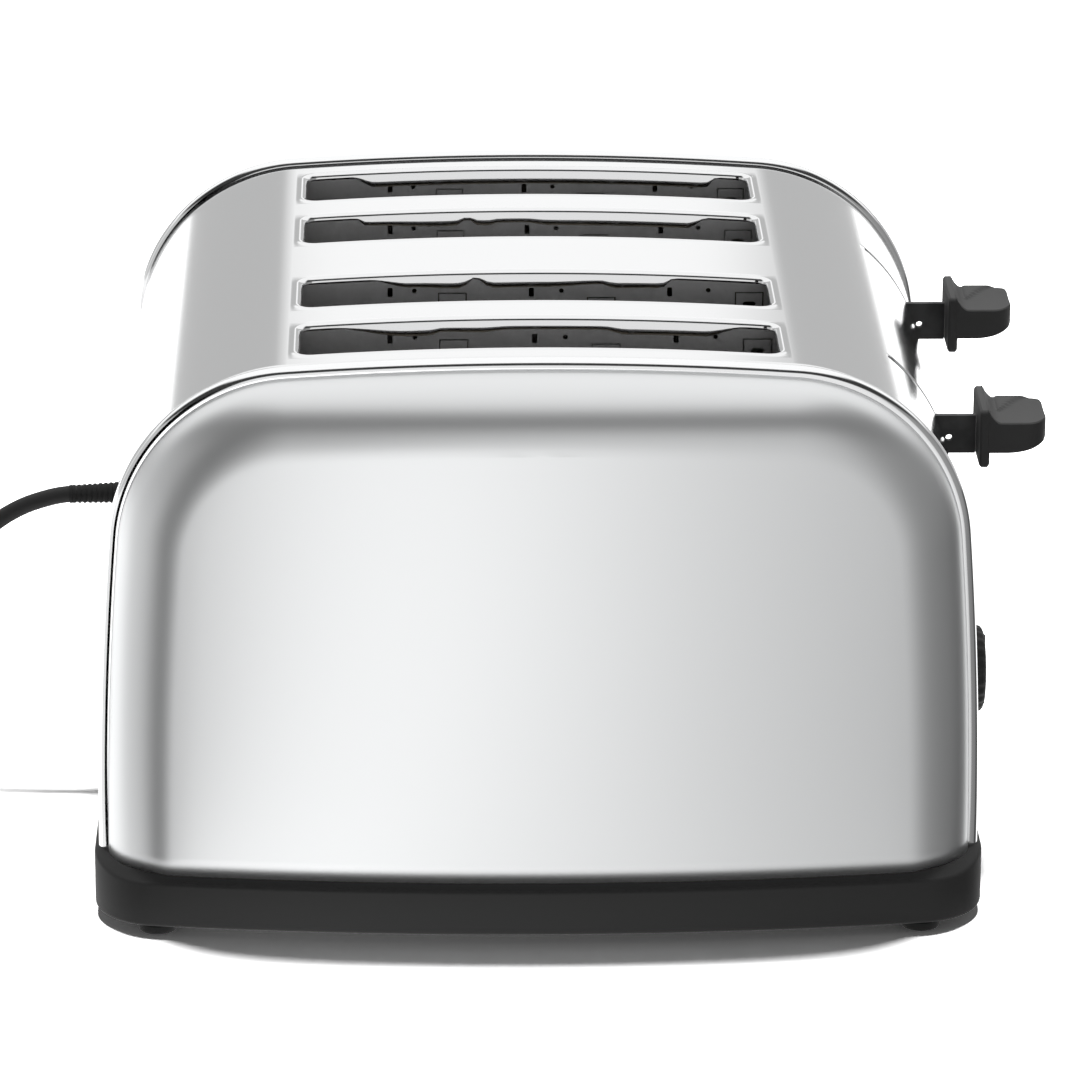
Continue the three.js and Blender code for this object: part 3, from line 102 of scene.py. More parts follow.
class BodySizes(bpy.types.PropertyGroup):
    """Arch, panels, beads and base."""
    crest_height: length(0.178, "Crest height", "Height of the beads at the middle of the arch")
    arch_half_width: length(0.1347, "Arch half width", "Half width of the arch at its foot")
    arch_foot: length(0.0184, "Arch foot", "Height at which the arch stands in the base")
    crown_angle: angle(3.97, "Crown angle", "Slope at which the crown meets the shoulder")
    shoulder_radius: length(0.058, "Shoulder radius", "Radius of the shoulder")
    shoulder_end: angle(85.17, "Shoulder end", "Slope at which the shoulder meets the side")
    bead_radius: length(0.0028, "Bead radius", "Radius of the chromed bead")
    bead_plane: length(0.1125, "Bead plane", "Distance of the beads from the middle")
    bead_rise: length(0.0018, "Bead rise", "How far the beads stand proud of the wrap")
    seat_gap: length(0.0003, "Seat gap", "Gap between seated pieces")
    sheet: length(0.0008, "Sheet", "Thickness of the steel sheet")
    panel_round: length(0.020, "Panel round", "Width of the panel's pressed edge")
    panel_depth: length(0.139, "Panel depth", "Distance of the panel's face from the middle")
    panel_bow: length(0.847, "Panel bow", "Radius of the panel's bow")
    panel_lean: length(0.0025, "Panel lean", "How far the panel leans in at its top")
    base_half_length: length(0.136, "Base half length", "Half length of the base")
    base_half_depth: length(0.142, "Base half depth", "Half depth of the base")
    base_corner: length(0.021, "Base corner", "Radius of the base's corners")
    base_bow: length(0.850, "Base bow", "Radius of the base's bowed sides")
    base_wall: length(0.0026, "Base wall", "Wall of the base")
    base_round: length(0.0012, "Base edge round", "Rounding of the base's edges")
    rim_drop: length(0.0019, "Rim drop", "How much lower the base is along the panels")
    rim_fall: length(0.0018, "Rim fall", "How far the rim falls away from the panels")
    rim_width: length(0.0034, "Rim width", "Width of the falling rim")


class SlotSizes(bpy.types.PropertyGroup):
    """Bread slots and their rolled lips."""
    slot_length: length(0.1446, "Slot length", "Length of a bread slot")
    slot_width: length(0.029, "Slot width", "Width of a bread slot")
    slot_corner: length(0.004, "Slot corner", "Corner radius of a bread slot")
    slot_inner: length(0.0341, "Inner slot place", "Middle of the inner slots")
    slot_outer: length(0.0819, "Outer slot place", "Middle of the outer slots")
    lip_roll: length(0.0019, "Lip roll", "Radius of the rolled lip")
    lip_proud: length(0.0003, "Lip rise", "How far the lip stands proud of the wrap")
    lip_depth: length(0.0048, "Lip depth", "Depth of the wall below the lip")
    lip_flare: angle(15, "Lip flare", "How far the wall below the lip leans in")


class ControlSizes(bpy.types.PropertyGroup):
    """Levers, dials and buttons."""
    knob_radius: length(0.0144, "Dial radius", "Radius of a browning dial")
    knob_flutes: IntProperty(name="Dial flutes", description="Grip flutes round a dial",
                             default=24, min=6, max=60)
    plate_thickness: length(0.0031, "Plate thickness", "Thickness of the lever's plate")
    thumb_corner: length(0.0065, "Thumb corner", "Corner radius of a lever's thumb piece")
    step_height: length(0.0007, "Thumb step", "Height of the step on the thumb piece")
    button_dish: length(0.0005, "Button dish", "Depth of the dish in a button's face")


class CordSizes(bpy.types.PropertyGroup):
    """Mains lead."""
    diameter: length(0.0054, "Lead diameter", "Diameter of the mains lead")
    coil_turns: IntProperty(name="Coil turns", description="Turns in the put-away coil",
                            default=3, min=1, max=12)
    coil_gap: length(0.0006, "Coil gap", "Gap between neighbouring turns")
    tail: length(0.034, "Tail", "Straight stretch from the coil to the plug")


class Finishes(bpy.types.PropertyGroup):
    """Colours of the materials."""
    polished: colour((0.93, 0.93, 0.935), "Polished steel", "Wrap over the top and ends")
    chrome: colour((0.96, 0.96, 0.965), "Chrome", "Beads")
    brushed: colour((0.90, 0.90, 0.905), "Brushed steel", "Side panels")
    plated: colour((0.62, 0.63, 0.65), "Plated steel", "Racks, carriages, rods and springs")
    guard: colour((0.72, 0.72, 0.725), "Guard steel", "Bread guards")
    dark_steel: colour((0.10, 0.10, 0.105), "Dark steel", "Bulkheads and crumb trays")
    black: colour((0.011, 0.011, 0.012), "Black plastic", "Base, dials, buttons and plug")
    stem: colour((0.021, 0.021, 0.022), "Stem paint", "Lever stems")
    lever: colour((0.060, 0.060, 0.061), "Lever plastic", "Thumb pieces")
    rubber: colour((0.012, 0.012, 0.012), "Rubber", "Feet, lead guard and tie")
    mica: colour((0.36, 0.31, 0.24), "Mica", "Heater boards")
    board: colour((0.03, 0.14, 0.06), "Circuit board", "Control boards")
    copper: colour((0.56, 0.24, 0.11), "Copper", "Windings of the latch magnet")
    brass: colour((0.72, 0.55, 0.30), "Brass", "Pins of the plug")
    lead: colour((0.010, 0.010, 0.011), "Lead", "Sheath of the mains lead")


class StageSettings(bpy.types.PropertyGroup):
    """Camera and light."""
    lens: FloatProperty(name="Lens", description="Focal length in millimetres", default=207.83)
    camera: FloatVectorProperty(name="Camera place", description="Where the camera stands",
                                default=(-0.05294, -1.88368, 0.74823), subtype="XYZ",
                                unit="LENGTH")
    pitch: angle(19.5, "Pitch", "How far the camera looks down")
    yaw: angle(1.374, "Yaw", "How far the camera looks to the right")
    roll: angle(0.276, "Roll", "How far the camera leans")
    lamp: FloatProperty(name="Lamp", description="Strength of each lamp overhead", default=3.0)
    lamp_spread: angle(4.0, "Lamp spread", "How wide a lamp overhead looks")
    lamp_across: length(0.2, "Lamp across", "How far each lamp is to its side")
    lamp_behind: length(0.245, "Lamp behind", "How far the lamps are behind the middle")
    fill: share(0.1, "Fill", "Strength of the even light from all round")


GROUPS = {"body": BodySizes, "slots": SlotSizes, "controls": ControlSizes, "cord": CordSizes,
          "finishes": Finishes, "stage": StageSettings}


# Mesh helpers

def clamped(value):
    return min(1.0, max(0.0, value))


def eased(part):
    """A share from 0 to 1 that starts and ends slowly."""
    return part * part * (3 - 2 * part)


def spread(low, high, count):
    return [low + (high - low) * i / count for i in range(count + 1)]


def rework(mesh, action):
    """Runs an action of bmesh on a mesh."""
    work = bmesh.new()
    work.from_mesh(mesh)
    action(work)
    work.to_mesh(mesh)
    work.free()


def smooth(mesh, crease=None):
    """Smooth shading; edges sharper than crease, in degrees, stay crisp."""
    mesh.shade_smooth()
    if crease is not None:
        mesh.set_sharp_from_angle(angle=math.radians(crease))


def new_mesh(name, points, faces, uvs=None, crease=None, outward=True):
    """A smooth mesh out of points and faces."""
    mesh = bpy.data.meshes.new(name)
    mesh.from_pydata([tuple(p) for p in points], [], faces)
    if outward:
        rework(mesh, lambda work: bmesh.ops.recalc_face_normals(work, faces=work.faces))
    if uvs:
        layer = mesh.uv_layers.new(name="surface")
        for loop in mesh.loops:
            layer.data[loop.index].uv = uvs[loop.vertex_index]
    smooth(mesh, crease)
    return mesh


def add_piece(name, data, body, material, replaced=()):
    """Puts a piece in the scene: finished, riding on its body, standing for its CAD nodes."""
    piece = bpy.data.objects.new(name, data)
    bpy.context.scene.collection.objects.link(piece)
    data.materials.clear()
    data.materials.append(material)
    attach(piece, body)
    if replaced:
        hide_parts(*replaced)
    return piece


def add_shape(name, shape, crease, body, made, replaced=()):
    """Adds a piece made of points and faces."""
    return add_piece(name, new_mesh(name, *shape, crease=crease), body, made, replaced)


def loft(rings, looped=False, capped=True):
    """Points and faces of a skin through rings of equal count."""
    count = len(rings[0])
    points = [p for ring in rings for p in ring]
    faces = []
    spans = len(rings) if looped else len(rings) - 1
    for i in range(spans):
        a, b = i * count, (i + 1) % len(rings) * count
        for j in range(count):
            k = (j + 1) % count
            faces.append((a + j, a + k, b + k, b + j))
    if capped and not looped:
        faces.append(tuple(range(count)))
        faces.append(tuple((len(rings) - 1) * count + j for j in range(count)))
    return points, faces


def turned(profile, centre, axis, segments=64):
    """Points and faces of a turned piece; the profile holds (radius, height) pairs."""
    along = Vector(axis).normalized()
    side = along.orthogonal().normalized()
    other = along.cross(side)
    rings = []
    for radius, height in profile:
        middle = Vector(centre) + along * height
        rings.append([middle + (side * math.cos(2 * math.pi * k / segments)
                                + other * math.sin(2 * math.pi * k / segments)) * max(radius, 1e-6)
                      for k in range(segments)])
    return loft(rings)


def merged(parts):
    """One set of points and faces out of several."""
    points, faces = [], []
    for part_points, part_faces in parts:
        start = len(points)
        points += list(part_points)
        faces += [tuple(start + i for i in face) for face in part_faces]
    return points, faces


def flat_ring(axis, at, centre, outline):
    """An outline of pairs as a ring that lies across an axis, at a place along it."""
    ring = []
    for u, v in outline:
        point = [centre[0] + u, centre[1] + v]
        point.insert(axis, at)
        ring.append(Vector(point))
    return ring


def prism(axis, ends, outline, centre=(0, 0)):
    """Points and faces of an outline drawn out along an axis."""
    return loft([flat_ring(axis, at, centre, outline) for at in ends])


def block(low, high):
    outline = [(low[0], low[1]), (high[0], low[1]), (high[0], high[1]), (low[0], high[1])]
    return prism(2, (low[2], high[2]), outline)


def round_outline(half_u, half_v, radius, steps=6):
    """A round-cornered rectangle about the origin, as pairs, running anticlockwise."""
    pairs = []
    for corner in range(4):
        su = 1 if corner in (0, 3) else -1
        sv = 1 if corner in (0, 1) else -1
        for k in range(steps + 1):
            turn = (corner + k / steps) * math.pi / 2
            pairs.append((su * (half_u - radius) + radius * math.cos(turn),
                          sv * (half_v - radius) + radius * math.sin(turn)))
    return pairs


def cut(mesh, *cutters):
    """The mesh with each cutter, given as points and faces, taken out of it."""
    target = bpy.data.objects.new("cut_target", mesh)
    bpy.context.scene.collection.objects.link(target)
    tools = []
    for points, faces in cutters:
        tool = bpy.data.objects.new("cut_tool", new_mesh("cut_tool", points, faces))
        bpy.context.scene.collection.objects.link(tool)
        step = target.modifiers.new("cut", "BOOLEAN")
        step.operation = "DIFFERENCE"
        step.solver = "EXACT"
        step.object = tool
        tools.append(tool)
    graph = bpy.context.evaluated_depsgraph_get()
    graph.update()
    result = bpy.data.meshes.new_from_object(target.evaluated_get(graph))
    for unused in [target, *tools]:
        data = unused.data
        bpy.data.objects.remove(unused)
        bpy.data.meshes.remove(data)
    return result


def soften(piece, width, segments=2, limit=35):
    """Rounds the sharp edges of a piece and keeps its flat faces flat."""
    bevel = piece.modifiers.new("rounding", "BEVEL")
    bevel.width = width
    bevel.segments = segments
    bevel.limit_method = "ANGLE"
    bevel.angle_limit = math.radians(limit)
    bevel.use_clamp_overlap = True
    bevel.harden_normals = True


def thicken(piece, thickness):
    skin = piece.modifiers.new("sheet", "SOLIDIFY")
    skin.thickness = thickness
    skin.offset = -1
    skin.use_even_offset = True


# The arch: three tangent arcs a side, measured along the line from the crest

class Arch:
    """The outline of the body, moved inwards by inset."""

    def __init__(self, body, inset=0.0):
        crown, end, radius = body.crown_angle, body.shoulder_end, body.shoulder_radius
        half = body.arch_half_width
        low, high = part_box("side_panel_left")
        self.middle = (low.x + high.x) / 2
        self.foot = body.arch_foot
        drop = radius * (math.cos(crown) - math.cos(end))
        crown_drop = half * math.tan(crown / 2) / 2
        side = (body.crest_height - crown_drop - drop - body.arch_foot) / math.cos(end)
        shoulder_x = half - side * (1 - math.sin(end)) - radius * math.sin(end)
        top = (shoulder_x + radius * math.sin(crown)) / math.sin(crown)
        top_z = body.crest_height - top
        shoulder_z = top_z + (top - radius) * math.cos(crown)
        side_x = shoulder_x - (side - radius) * math.sin(end)
        side_z = shoulder_z - (side - radius) * math.cos(end)
        last = math.acos((self.foot - side_z) / side)
        self.arcs = []
        start = 0.0
        for x, z, r, a, b in ((0.0, top_z, top, 0.0, crown),
                              (shoulder_x, shoulder_z, radius, crown, end),
                              (side_x, side_z, side, end, last)):
            span = (r - inset) * (b - a)
            self.arcs.append((start, start + span, x, z, r - inset, a))
            start += span
        self.length = start

    def at(self, place):
        """Point and outward direction, in x and z, at a distance along the arch."""
        sign = -1 if place < 0 else 1
        distance = abs(place)
        for start, stop, x, z, radius, first in self.arcs:
            if distance <= stop or stop == self.length:
                turn = first + (distance - start) / radius
                nx, nz = math.sin(turn), math.cos(turn)
                return (self.middle + sign * (x + radius * nx), max(z + radius * nz, self.foot),
                        sign * nx, nz)

    def inside(self, place, inset):
        """The point a distance inside the arch; the foot keeps its height."""
        x, z, nx, nz = self.at(place)
        return x - inset * nx, max(z - inset * nz, self.foot)

    def place_at_height(self, height):
        for start, _, _, z, radius, first in reversed(self.arcs):
            turn = math.acos(max(-1.0, min(1.0, (height - z) / radius)))
            if turn >= first - 1e-9:
                return start + radius * (turn - first)
        return 0.0

    def places(self, fine=0.002, coarse=0.007):
        """Places along the whole arch, closer together on the shoulders."""
        half = [0.0]
        for number, (start, stop, *_) in enumerate(self.arcs):
            steps = math.ceil((stop - start) / (fine if number == 1 else coarse))
            half += spread(start, stop, steps)[1:]
        return [-p for p in reversed(half[1:])] + half


# The polished wrap

class Window:
    """A round-cornered hole in the wrap, and the patch of grid that gives way to it."""

    def __init__(self, centre, half, radius, margin):
        self.centre, self.half, self.radius = centre, half, radius
        self.low = [c - h - margin for c, h in zip(centre, half)]
        self.high = [c + h + margin for c, h in zip(centre, half)]

    def reach(self, side):
        along = self.half[side % 2] - self.radius
        return self.radius * math.pi / 4, 2 * along

    def lines(self, side, arc_steps, flat_steps):
        """Grid lines across the patch that suit the hole's corners."""
        arc, flat = self.reach(side)
        whole = flat + 2 * arc
        stops = [arc * k / arc_steps for k in range(1, arc_steps + 1)]
        if flat > 1e-6:
            stops += [arc + flat * k / flat_steps for k in range(1, flat_steps + 1)]
        stops += [arc + flat + arc * k / arc_steps for k in range(1, arc_steps)]
        low, high = self.low[side % 2], self.high[side % 2]
        return [low + (high - low) * stop / whole for stop in stops]

    def spoke(self, side, along):
        """Centre and direction of the hole's edge, for a share of one side of the patch."""
        arc, flat = self.reach(side)
        step = along * (flat + 2 * arc)
        forward = ((1, 0), (0, 1), (-1, 0), (0, -1))[side]
        out = (forward[1], -forward[0])
        across = self.half[(side + 1) % 2] - self.radius
        if step < arc:
            turn, shift = (step - arc) / self.radius, -flat / 2
        elif step > arc + flat:
            turn, shift = (step - arc - flat) / self.radius, flat / 2
        else:
            turn, shift = 0.0, step - arc - flat / 2
        centre = [self.centre[k] + forward[k] * shift + out[k] * across for k in (0, 1)]
        way = [out[k] * math.cos(turn) + forward[k] * math.sin(turn) for k in (0, 1)]
        return centre, way


def grid_lines(required, soft, step_at):
    """The required places, the soft ones that keep clear of them, and even steps between."""
    lines = sorted(set(required))
    for value in sorted(soft):
        if min(abs(value - line) for line in lines) > 0.0004:
            lines.append(value)
    lines.sort()
    full = [lines[0]]
    for a, b in zip(lines, lines[1:]):
        if b - a > 1e-7:
            full += spread(a, b, math.ceil((b - a) / step_at((a + b) / 2)))[1:]
    return full


def nearest(lines, value):
    place = bisect.bisect_left(lines, value - 1e-7)
    if place >= len(lines) or abs(lines[place] - value) > 1e-6:
        raise ValueError(f"no grid line at {value}")
    return place


# How deep the wall below each slot's lip is: places from the crest, and shares of the depth
SKIRTS = (
    ((-0.0639, 0), (-0.0392, 1), (-0.0332, 1), (-0.0295, 0.7), (-0.0169, 0.8), (-0.0086, 0.6),
     (0.02, 0.6), (0.0268, 1), (0.0506, 0.95), (0.0636, 0)),
    ((-0.052, 0), (-0.0386, 0.8), (-0.0238, 1), (-0.0222, 0.8), (-0.0184, 0.05), (-0.0146, 0.8),
     (-0.013, 1), (0.0035, 0.95), (0.0216, 0.65), (0.0246, 1), (0.0396, 0.9), (0.0437, 0)),
    ((-0.0562, 0), (-0.0527, 0.7), (-0.0295, 1), (-0.0242, 1), (-0.0203, 0.4), (-0.0164, 1),
     (-0.0134, 1), (-0.01, 0.75), (-0.0014, 0.75), (0.0057, 1), (0.0508, 1), (0.0578, 0)),
    ((-0.0575, 0), (-0.0503, 1), (0.0589, 1), (0.0629, 0)),
)


def skirt_share(table, place):
    """The depth's share at a place, eased between the table's places."""
    if place <= table[0][0] or place >= table[-1][0]:
        return 0.0
    for (a, low), (b, high) in zip(table, table[1:]):
        if place <= b:
            return low + (high - low) * eased((place - a) / (b - a))
    return 0.0


def slot_middles(slots):
    return -slots.slot_outer, -slots.slot_inner, slots.slot_inner, slots.slot_outer


def wrap_skin(body, slots):
    """Points, faces and surface coordinates of the wrap's outer skin."""
    arch = Arch(body, body.bead_rise)
    depth = body.bead_plane - body.bead_radius - body.seat_gap
    roll = slots.lip_roll
    lips = [Window((0.0, y), (slots.slot_length / 2 + roll, slots.slot_width / 2 + roll),
                   slots.slot_corner + roll, margin=0.0018)
            for y in slot_middles(slots)]
    holes, slits = [], []
    for name, _ in SIDES:
        low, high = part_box(f"dial_shaft_{name}")
        radius = (high.z - low.z) / 2 + HOLE_PLAY
        holes.append(Window((arch.place_at_height((low.z + high.z) / 2), (low.y + high.y) / 2),
                            (radius, radius), radius, margin=0.0015))
        for label in BUTTONS:
            low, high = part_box(f"{label}_button_{name}")
            half = ((high.z - low.z) / 2 + HOLE_PLAY, (high.y - low.y) / 2 + HOLE_PLAY)
            holes.append(Window((arch.place_at_height((low.z + high.z) / 2),
                                 (low.y + high.y) / 2), half, half[0], margin=0.0012))
        low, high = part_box(f"lever_stem_{name}")
        travel = next(joint["range_m"][0] for joint in frame["joints"]
                      if joint["name"] == f"{name}_lift_slide")
        slits.append((arch.place_at_height(SLIT_TOP),
                      arch.place_at_height(low.z + travel - 2 * HOLE_PLAY),
                      low.y - HOLE_PLAY, high.y + HOLE_PLAY))
    holes.append(Window((-arch.place_at_height(CORD_HEIGHT), 0.0), (LEAD_HOLE, LEAD_HOLE),
                        LEAD_HOLE, margin=0.0015))

    def step_at(place):
        distance = abs(place)
        return 0.0022 if arch.arcs[1][0] < distance < arch.arcs[1][1] else 0.007

    rows, columns = [-arch.length, arch.length], [-depth, depth]
    rows += [sign * arc[1] for arc in arch.arcs[:2] for sign in (-1, 1)]
    soft_rows, soft_columns = [], []
    # Each window with its grid lines: round a corner, and along its sides
    patches = [(w, 6, (64, 4)) for w in lips] + [(w, 4, (2, 3)) for w in holes]
    for window, arc_steps, flats in patches:
        rows += [window.low[0], window.high[0]]
        columns += [window.low[1], window.high[1]]
        soft_rows += window.lines(0, arc_steps, flats[0])
        soft_columns += window.lines(1, arc_steps, flats[1])
    for top, bottom, left, right in slits:
        rows += [top, bottom]
        columns += [left, right]
    rows = grid_lines(rows, soft_rows, step_at)
    columns = grid_lines(columns, soft_columns, lambda _: 0.009)

    points, faces, uvs = [], [], []

    def add(u, v, rise=0.0):
        x, z, *_ = arch.at(u)
        points.append(Vector((x, v, z + rise)))
        uvs.append((u, v))
        return len(points) - 1

    def within(u, v, box):
        return box[0] < u < box[1] and box[2] < v < box[3]

    boxes = [(w.low[0], w.high[0], w.low[1], w.high[1]) for w in lips + holes]
    grid = {}
    for i, u in enumerate(rows):
        for j, v in enumerate(columns):
            if not any(within(u, v, (a + 1e-6, b - 1e-6, c + 1e-6, d - 1e-6))
                       for a, b, c, d in boxes):
                grid[i, j] = add(u, v)
    for i in range(len(rows) - 1):
        for j in range(len(columns) - 1):
            u, v = (rows[i] + rows[i + 1]) / 2, (columns[j] + columns[j + 1]) / 2
            if not any(within(u, v, box) for box in boxes + slits):
                faces.append((grid[i, j], grid[i + 1, j], grid[i + 1, j + 1], grid[i, j + 1]))

    # The lip's section: out from the slot's edge, and up from the wrap
    proud = slots.lip_proud
    lip = [(roll + 0.0012, 0.0), (roll + 0.0008, proud * 0.3), (roll + 0.0004, proud * 0.8)]
    last_turn = math.pi / 2 - slots.lip_flare
    for k in range(10):
        turn = last_turn * k / 9
        lip.append((roll * (1 - math.sin(turn)), proud - roll * (1 - math.cos(turn))))
    wall_out, wall_rise = lip[-1]
    for window in lips + holes:
        i0, i1 = nearest(rows, window.low[0]), nearest(rows, window.high[0])
        j0, j1 = nearest(columns, window.low[1]), nearest(columns, window.high[1])
        # Once round the patch: each grid point, with the side that it is on
        edge = [((i, j0), 0) for i in range(i0, i1)]
        edge += [((i1, j), 1) for j in range(j0, j1)]
        edge += [((i, j1), 2) for i in range(i1, i0, -1)]
        edge += [((i0, j), 3) for j in range(j1, j0, -1)]
        section = [(out + window.radius - roll - slots.slot_corner, rise) for out, rise in lip]
        if window in holes:
            section = [(0.0006, 0.0), (0.0, 0.0)]
        last = [grid[key] for key, _ in edge]
        spokes = []
        for (i, j), side in edge:
            place = rows[i] if side % 2 == 0 else columns[j]
            low, high = window.low[side % 2], window.high[side % 2]
            along = (place - low) / (high - low)
            spokes.append(window.spoke(side, 1 - along if side > 1 else along))
        base = window.radius if window in holes else slots.slot_corner
        rows_down = [[(out, rise)] * len(spokes) for out, rise in section]
        if window in lips:
            table = SKIRTS[lips.index(window)]
            drops = [0.0004 + (wall_rise + slots.lip_depth - 0.0004)
                     * (skirt_share(table, c[0] + n[0] * base) if abs(n[1]) > 0.7 else 0.0)
                     for c, n in spokes]
            for down in (0.5, 1.0):
                rows_down.append([(wall_out - down * drop * math.tan(slots.lip_flare),
                                   wall_rise - down * drop) for drop in drops])
        for row in rows_down:
            ring = [add(c[0] + n[0] * (base + out), c[1] + n[1] * (base + out), rise)
                    for (c, n), (out, rise) in zip(spokes, row)]
            for k in range(len(ring)):
                m = (k + 1) % len(ring)
                faces.append((last[k], last[m], ring[m], ring[k]))
            last = ring
    return points, faces, uvs


# Shader helpers

class Nodes:
    """Short hand for building a node tree."""

    def __init__(self, tree):
        self.tree = tree

    @classmethod
    def of(cls, owner):
        """The emptied tree of a material or world."""
        owner.use_nodes = True
        owner.node_tree.nodes.clear()
        return cls(owner.node_tree)

    def add(self, kind, inputs=None, **settings):
        node = self.tree.nodes.new(kind)
        for key, value in settings.items():
            setattr(node, key, value)
        for key, value in (inputs or {}).items():
            if isinstance(value, bpy.types.NodeSocket):
                self.tree.links.new(value, node.inputs[key])
            else:
                node.inputs[key].default_value = value
        return node

    def math(self, operation, a, b=0.0, clamp=False):
        return self.add("ShaderNodeMath", {0: a, 1: b}, operation=operation,
                        use_clamp=clamp).outputs[0]

    def ramp(self, value, a, b, low=0.0, high=1.0, smooth=True):
        node = self.add("ShaderNodeMapRange", {"Value": value, "From Min": a, "From Max": b,
                                               "To Min": low, "To Max": high},
                        interpolation_type="SMOOTHSTEP" if smooth else "LINEAR")
        return node.outputs["Result"]

    def mix(self, factor, a, b):
        node = self.add("ShaderNodeMix", data_type="RGBA")
        for socket, value in ((node.inputs[0], factor), (node.inputs[6], a), (node.inputs[7], b)):
            if isinstance(value, bpy.types.NodeSocket):
                self.tree.links.new(value, socket)
            else:
                socket.default_value = value if socket == node.inputs[0] else (*value, 1.0)
        return node.outputs[2]

    def blend(self, factor, a, b):
        node = self.add("ShaderNodeMix", {0: factor, 2: a, 3: b}, data_type="FLOAT")
        return node.outputs[0]

    def noise(self, vector, scale, detail=2.0, rough=0.5):
        return self.add("ShaderNodeTexNoise", {"Vector": vector, "Scale": scale, "Detail": detail,
                                               "Roughness": rough}).outputs["Fac"]

    def stretch(self, vector, x, y, z):
        return self.add("ShaderNodeVectorMath", {0: vector, 1: (x, y, z)},
                        operation="MULTIPLY").outputs[0]

    def tones(self, value, stops):
        """Greys for a value from 0 to 1; the stops hold a place and a tone."""
        node = self.add("ShaderNodeValToRGB", {"Fac": value})
        ramp = node.color_ramp
        while len(ramp.elements) < len(stops):
            ramp.elements.new(0.5)
        for element, (place, tone) in zip(ramp.elements, stops):
            element.position = place
            element.color = (tone, tone, tone, 1.0)
        return node.outputs["Color"]

    def place(self):
        """The place on the object itself, in metres."""
        return self.add("ShaderNodeTexCoord").outputs["Object"]

    def bump(self, height, strength, distance):
        return self.add("ShaderNodeBump", {"Height": height, "Strength": strength,
                                           "Distance": distance}).outputs[0]

    def effect(self, name, **inputs):
        """The outputs of a shared effect."""
        return self.add("ShaderNodeGroup", inputs, node_tree=group(name)).outputs


def new_group(name, inputs, outputs):
    tree = bpy.data.node_groups.new(name, "ShaderNodeTree")
    for socket, kind, value in inputs:
        made = tree.interface.new_socket(name=socket, in_out="INPUT", socket_type=kind)
        if value is not None:
            made.default_value = value
    for socket, kind in outputs:
        tree.interface.new_socket(name=socket, in_out="OUTPUT", socket_type=kind)
    return tree, Nodes(tree)


VECTOR, FLOAT, COLOR = "NodeSocketVector", "NodeSocketFloat", "NodeSocketColor"


def brushing_group():
    """Long fine scratches: masks and heights for steel that was brushed or polished one way."""
    tree, n = new_group("brushing", [("Place", VECTOR, None), ("Across", FLOAT, 3000.0),
                                     ("Along", FLOAT, 25.0)],
                        [("Streaks", FLOAT), ("Bands", FLOAT), ("Patches", FLOAT)])
    source = n.add("NodeGroupInput")
    axes = n.add("ShaderNodeSeparateXYZ", {0: source.outputs["Place"]})
    across = n.math("MULTIPLY", axes.outputs[0], source.outputs["Across"])
    along = n.math("MULTIPLY", axes.outputs[1], source.outputs["Along"])
    fine = n.add("ShaderNodeCombineXYZ", {0: across, 1: along})
    wide = n.stretch(fine.outputs[0], 0.12, 0.4, 1.0)
    streaks = n.noise(fine.outputs[0], 1.0, 3.0, 0.7)
    bands = n.noise(wide, 1.0, 2.0, 0.6)
    patches = n.noise(source.outputs["Place"], 22.0, 3.0, 0.55)
    n.add("NodeGroupOutput", {"Streaks": streaks, "Bands": bands, "Patches": patches})
    return tree


def moulding_group():
    """Spark-eroded plastic or rubber: a fine pebble height, with faint wear and dust masks."""
    tree, n = new_group("moulding", [("Place", VECTOR, None), ("Grain", FLOAT, 2200.0)],
                        [("Height", FLOAT), ("Wear", FLOAT), ("Dust", FLOAT)])
    source = n.add("NodeGroupInput")
    place, grain = source.outputs["Place"], source.outputs["Grain"]
    pebble = n.add("ShaderNodeTexVoronoi", {"Vector": place, "Scale": grain},
                   feature="SMOOTH_F1").outputs["Distance"]
    fine = n.noise(place, grain, 2.0)
    height = n.math("ADD", n.math("MULTIPLY", pebble, 0.7), n.math("MULTIPLY", fine, 0.5))
    wear = n.ramp(n.noise(place, 60.0, 4.0, 0.6), 0.45, 0.75)
    normal = n.add("ShaderNodeSeparateXYZ", {0: n.add("ShaderNodeNewGeometry").outputs["Normal"]})
    dust = n.math("MULTIPLY", n.ramp(normal.outputs[2], 0.3, 1.0),
                  n.noise(place, 140.0, 4.0, 0.65))
    n.add("NodeGroupOutput", {"Height": height, "Wear": wear, "Dust": dust})
    return tree


def plating_group():
    """Mottled plating or oxide: blotches, tiny pits and a colour mask."""
    tree, n = new_group("plating", [("Place", VECTOR, None), ("Size", FLOAT, 90.0)],
                        [("Blotches", FLOAT), ("Pits", FLOAT)])
    source = n.add("NodeGroupInput")
    place, size = source.outputs["Place"], source.outputs["Size"]
    blotches = n.ramp(n.noise(place, size, 5.0, 0.6), 0.3, 0.7)
    pits = n.noise(place, n.math("MULTIPLY", size, 18.0), 2.0, 0.6)
    n.add("NodeGroupOutput", {"Blotches": blotches, "Pits": pits})
    return tree


def studio_group():
    """Tones of the studio round the object: pale, with a few grey and dark flags."""
    tree, n = new_group("studio_round", [("Turn", FLOAT, 0.0)], [("Tone", FLOAT)])
    turn = n.add("NodeGroupInput").outputs["Turn"]
    stops = [(-180, 0.95), (-92, 0.95), (-82, 0.60), (-48, 0.62), (-62, 0.6), (-56, 0.0),
             (-19.5, 0.0), (-17, 0.85), (-12, 0.93), (14, 0.95), (30, 0.80), (37, 0.34),
             (70, 0.30), (88, 0.27), (93, 0.05), (118, 0.05), (124, 0.55), (134, 0.9), (180, 0.95)]
    tone = n.tones(n.ramp(turn, -180.0, 180.0, smooth=False),
                   [((place + 180) / 360, tone) for place, tone in stops])
    n.add("NodeGroupOutput", {"Tone": tone})
    return tree


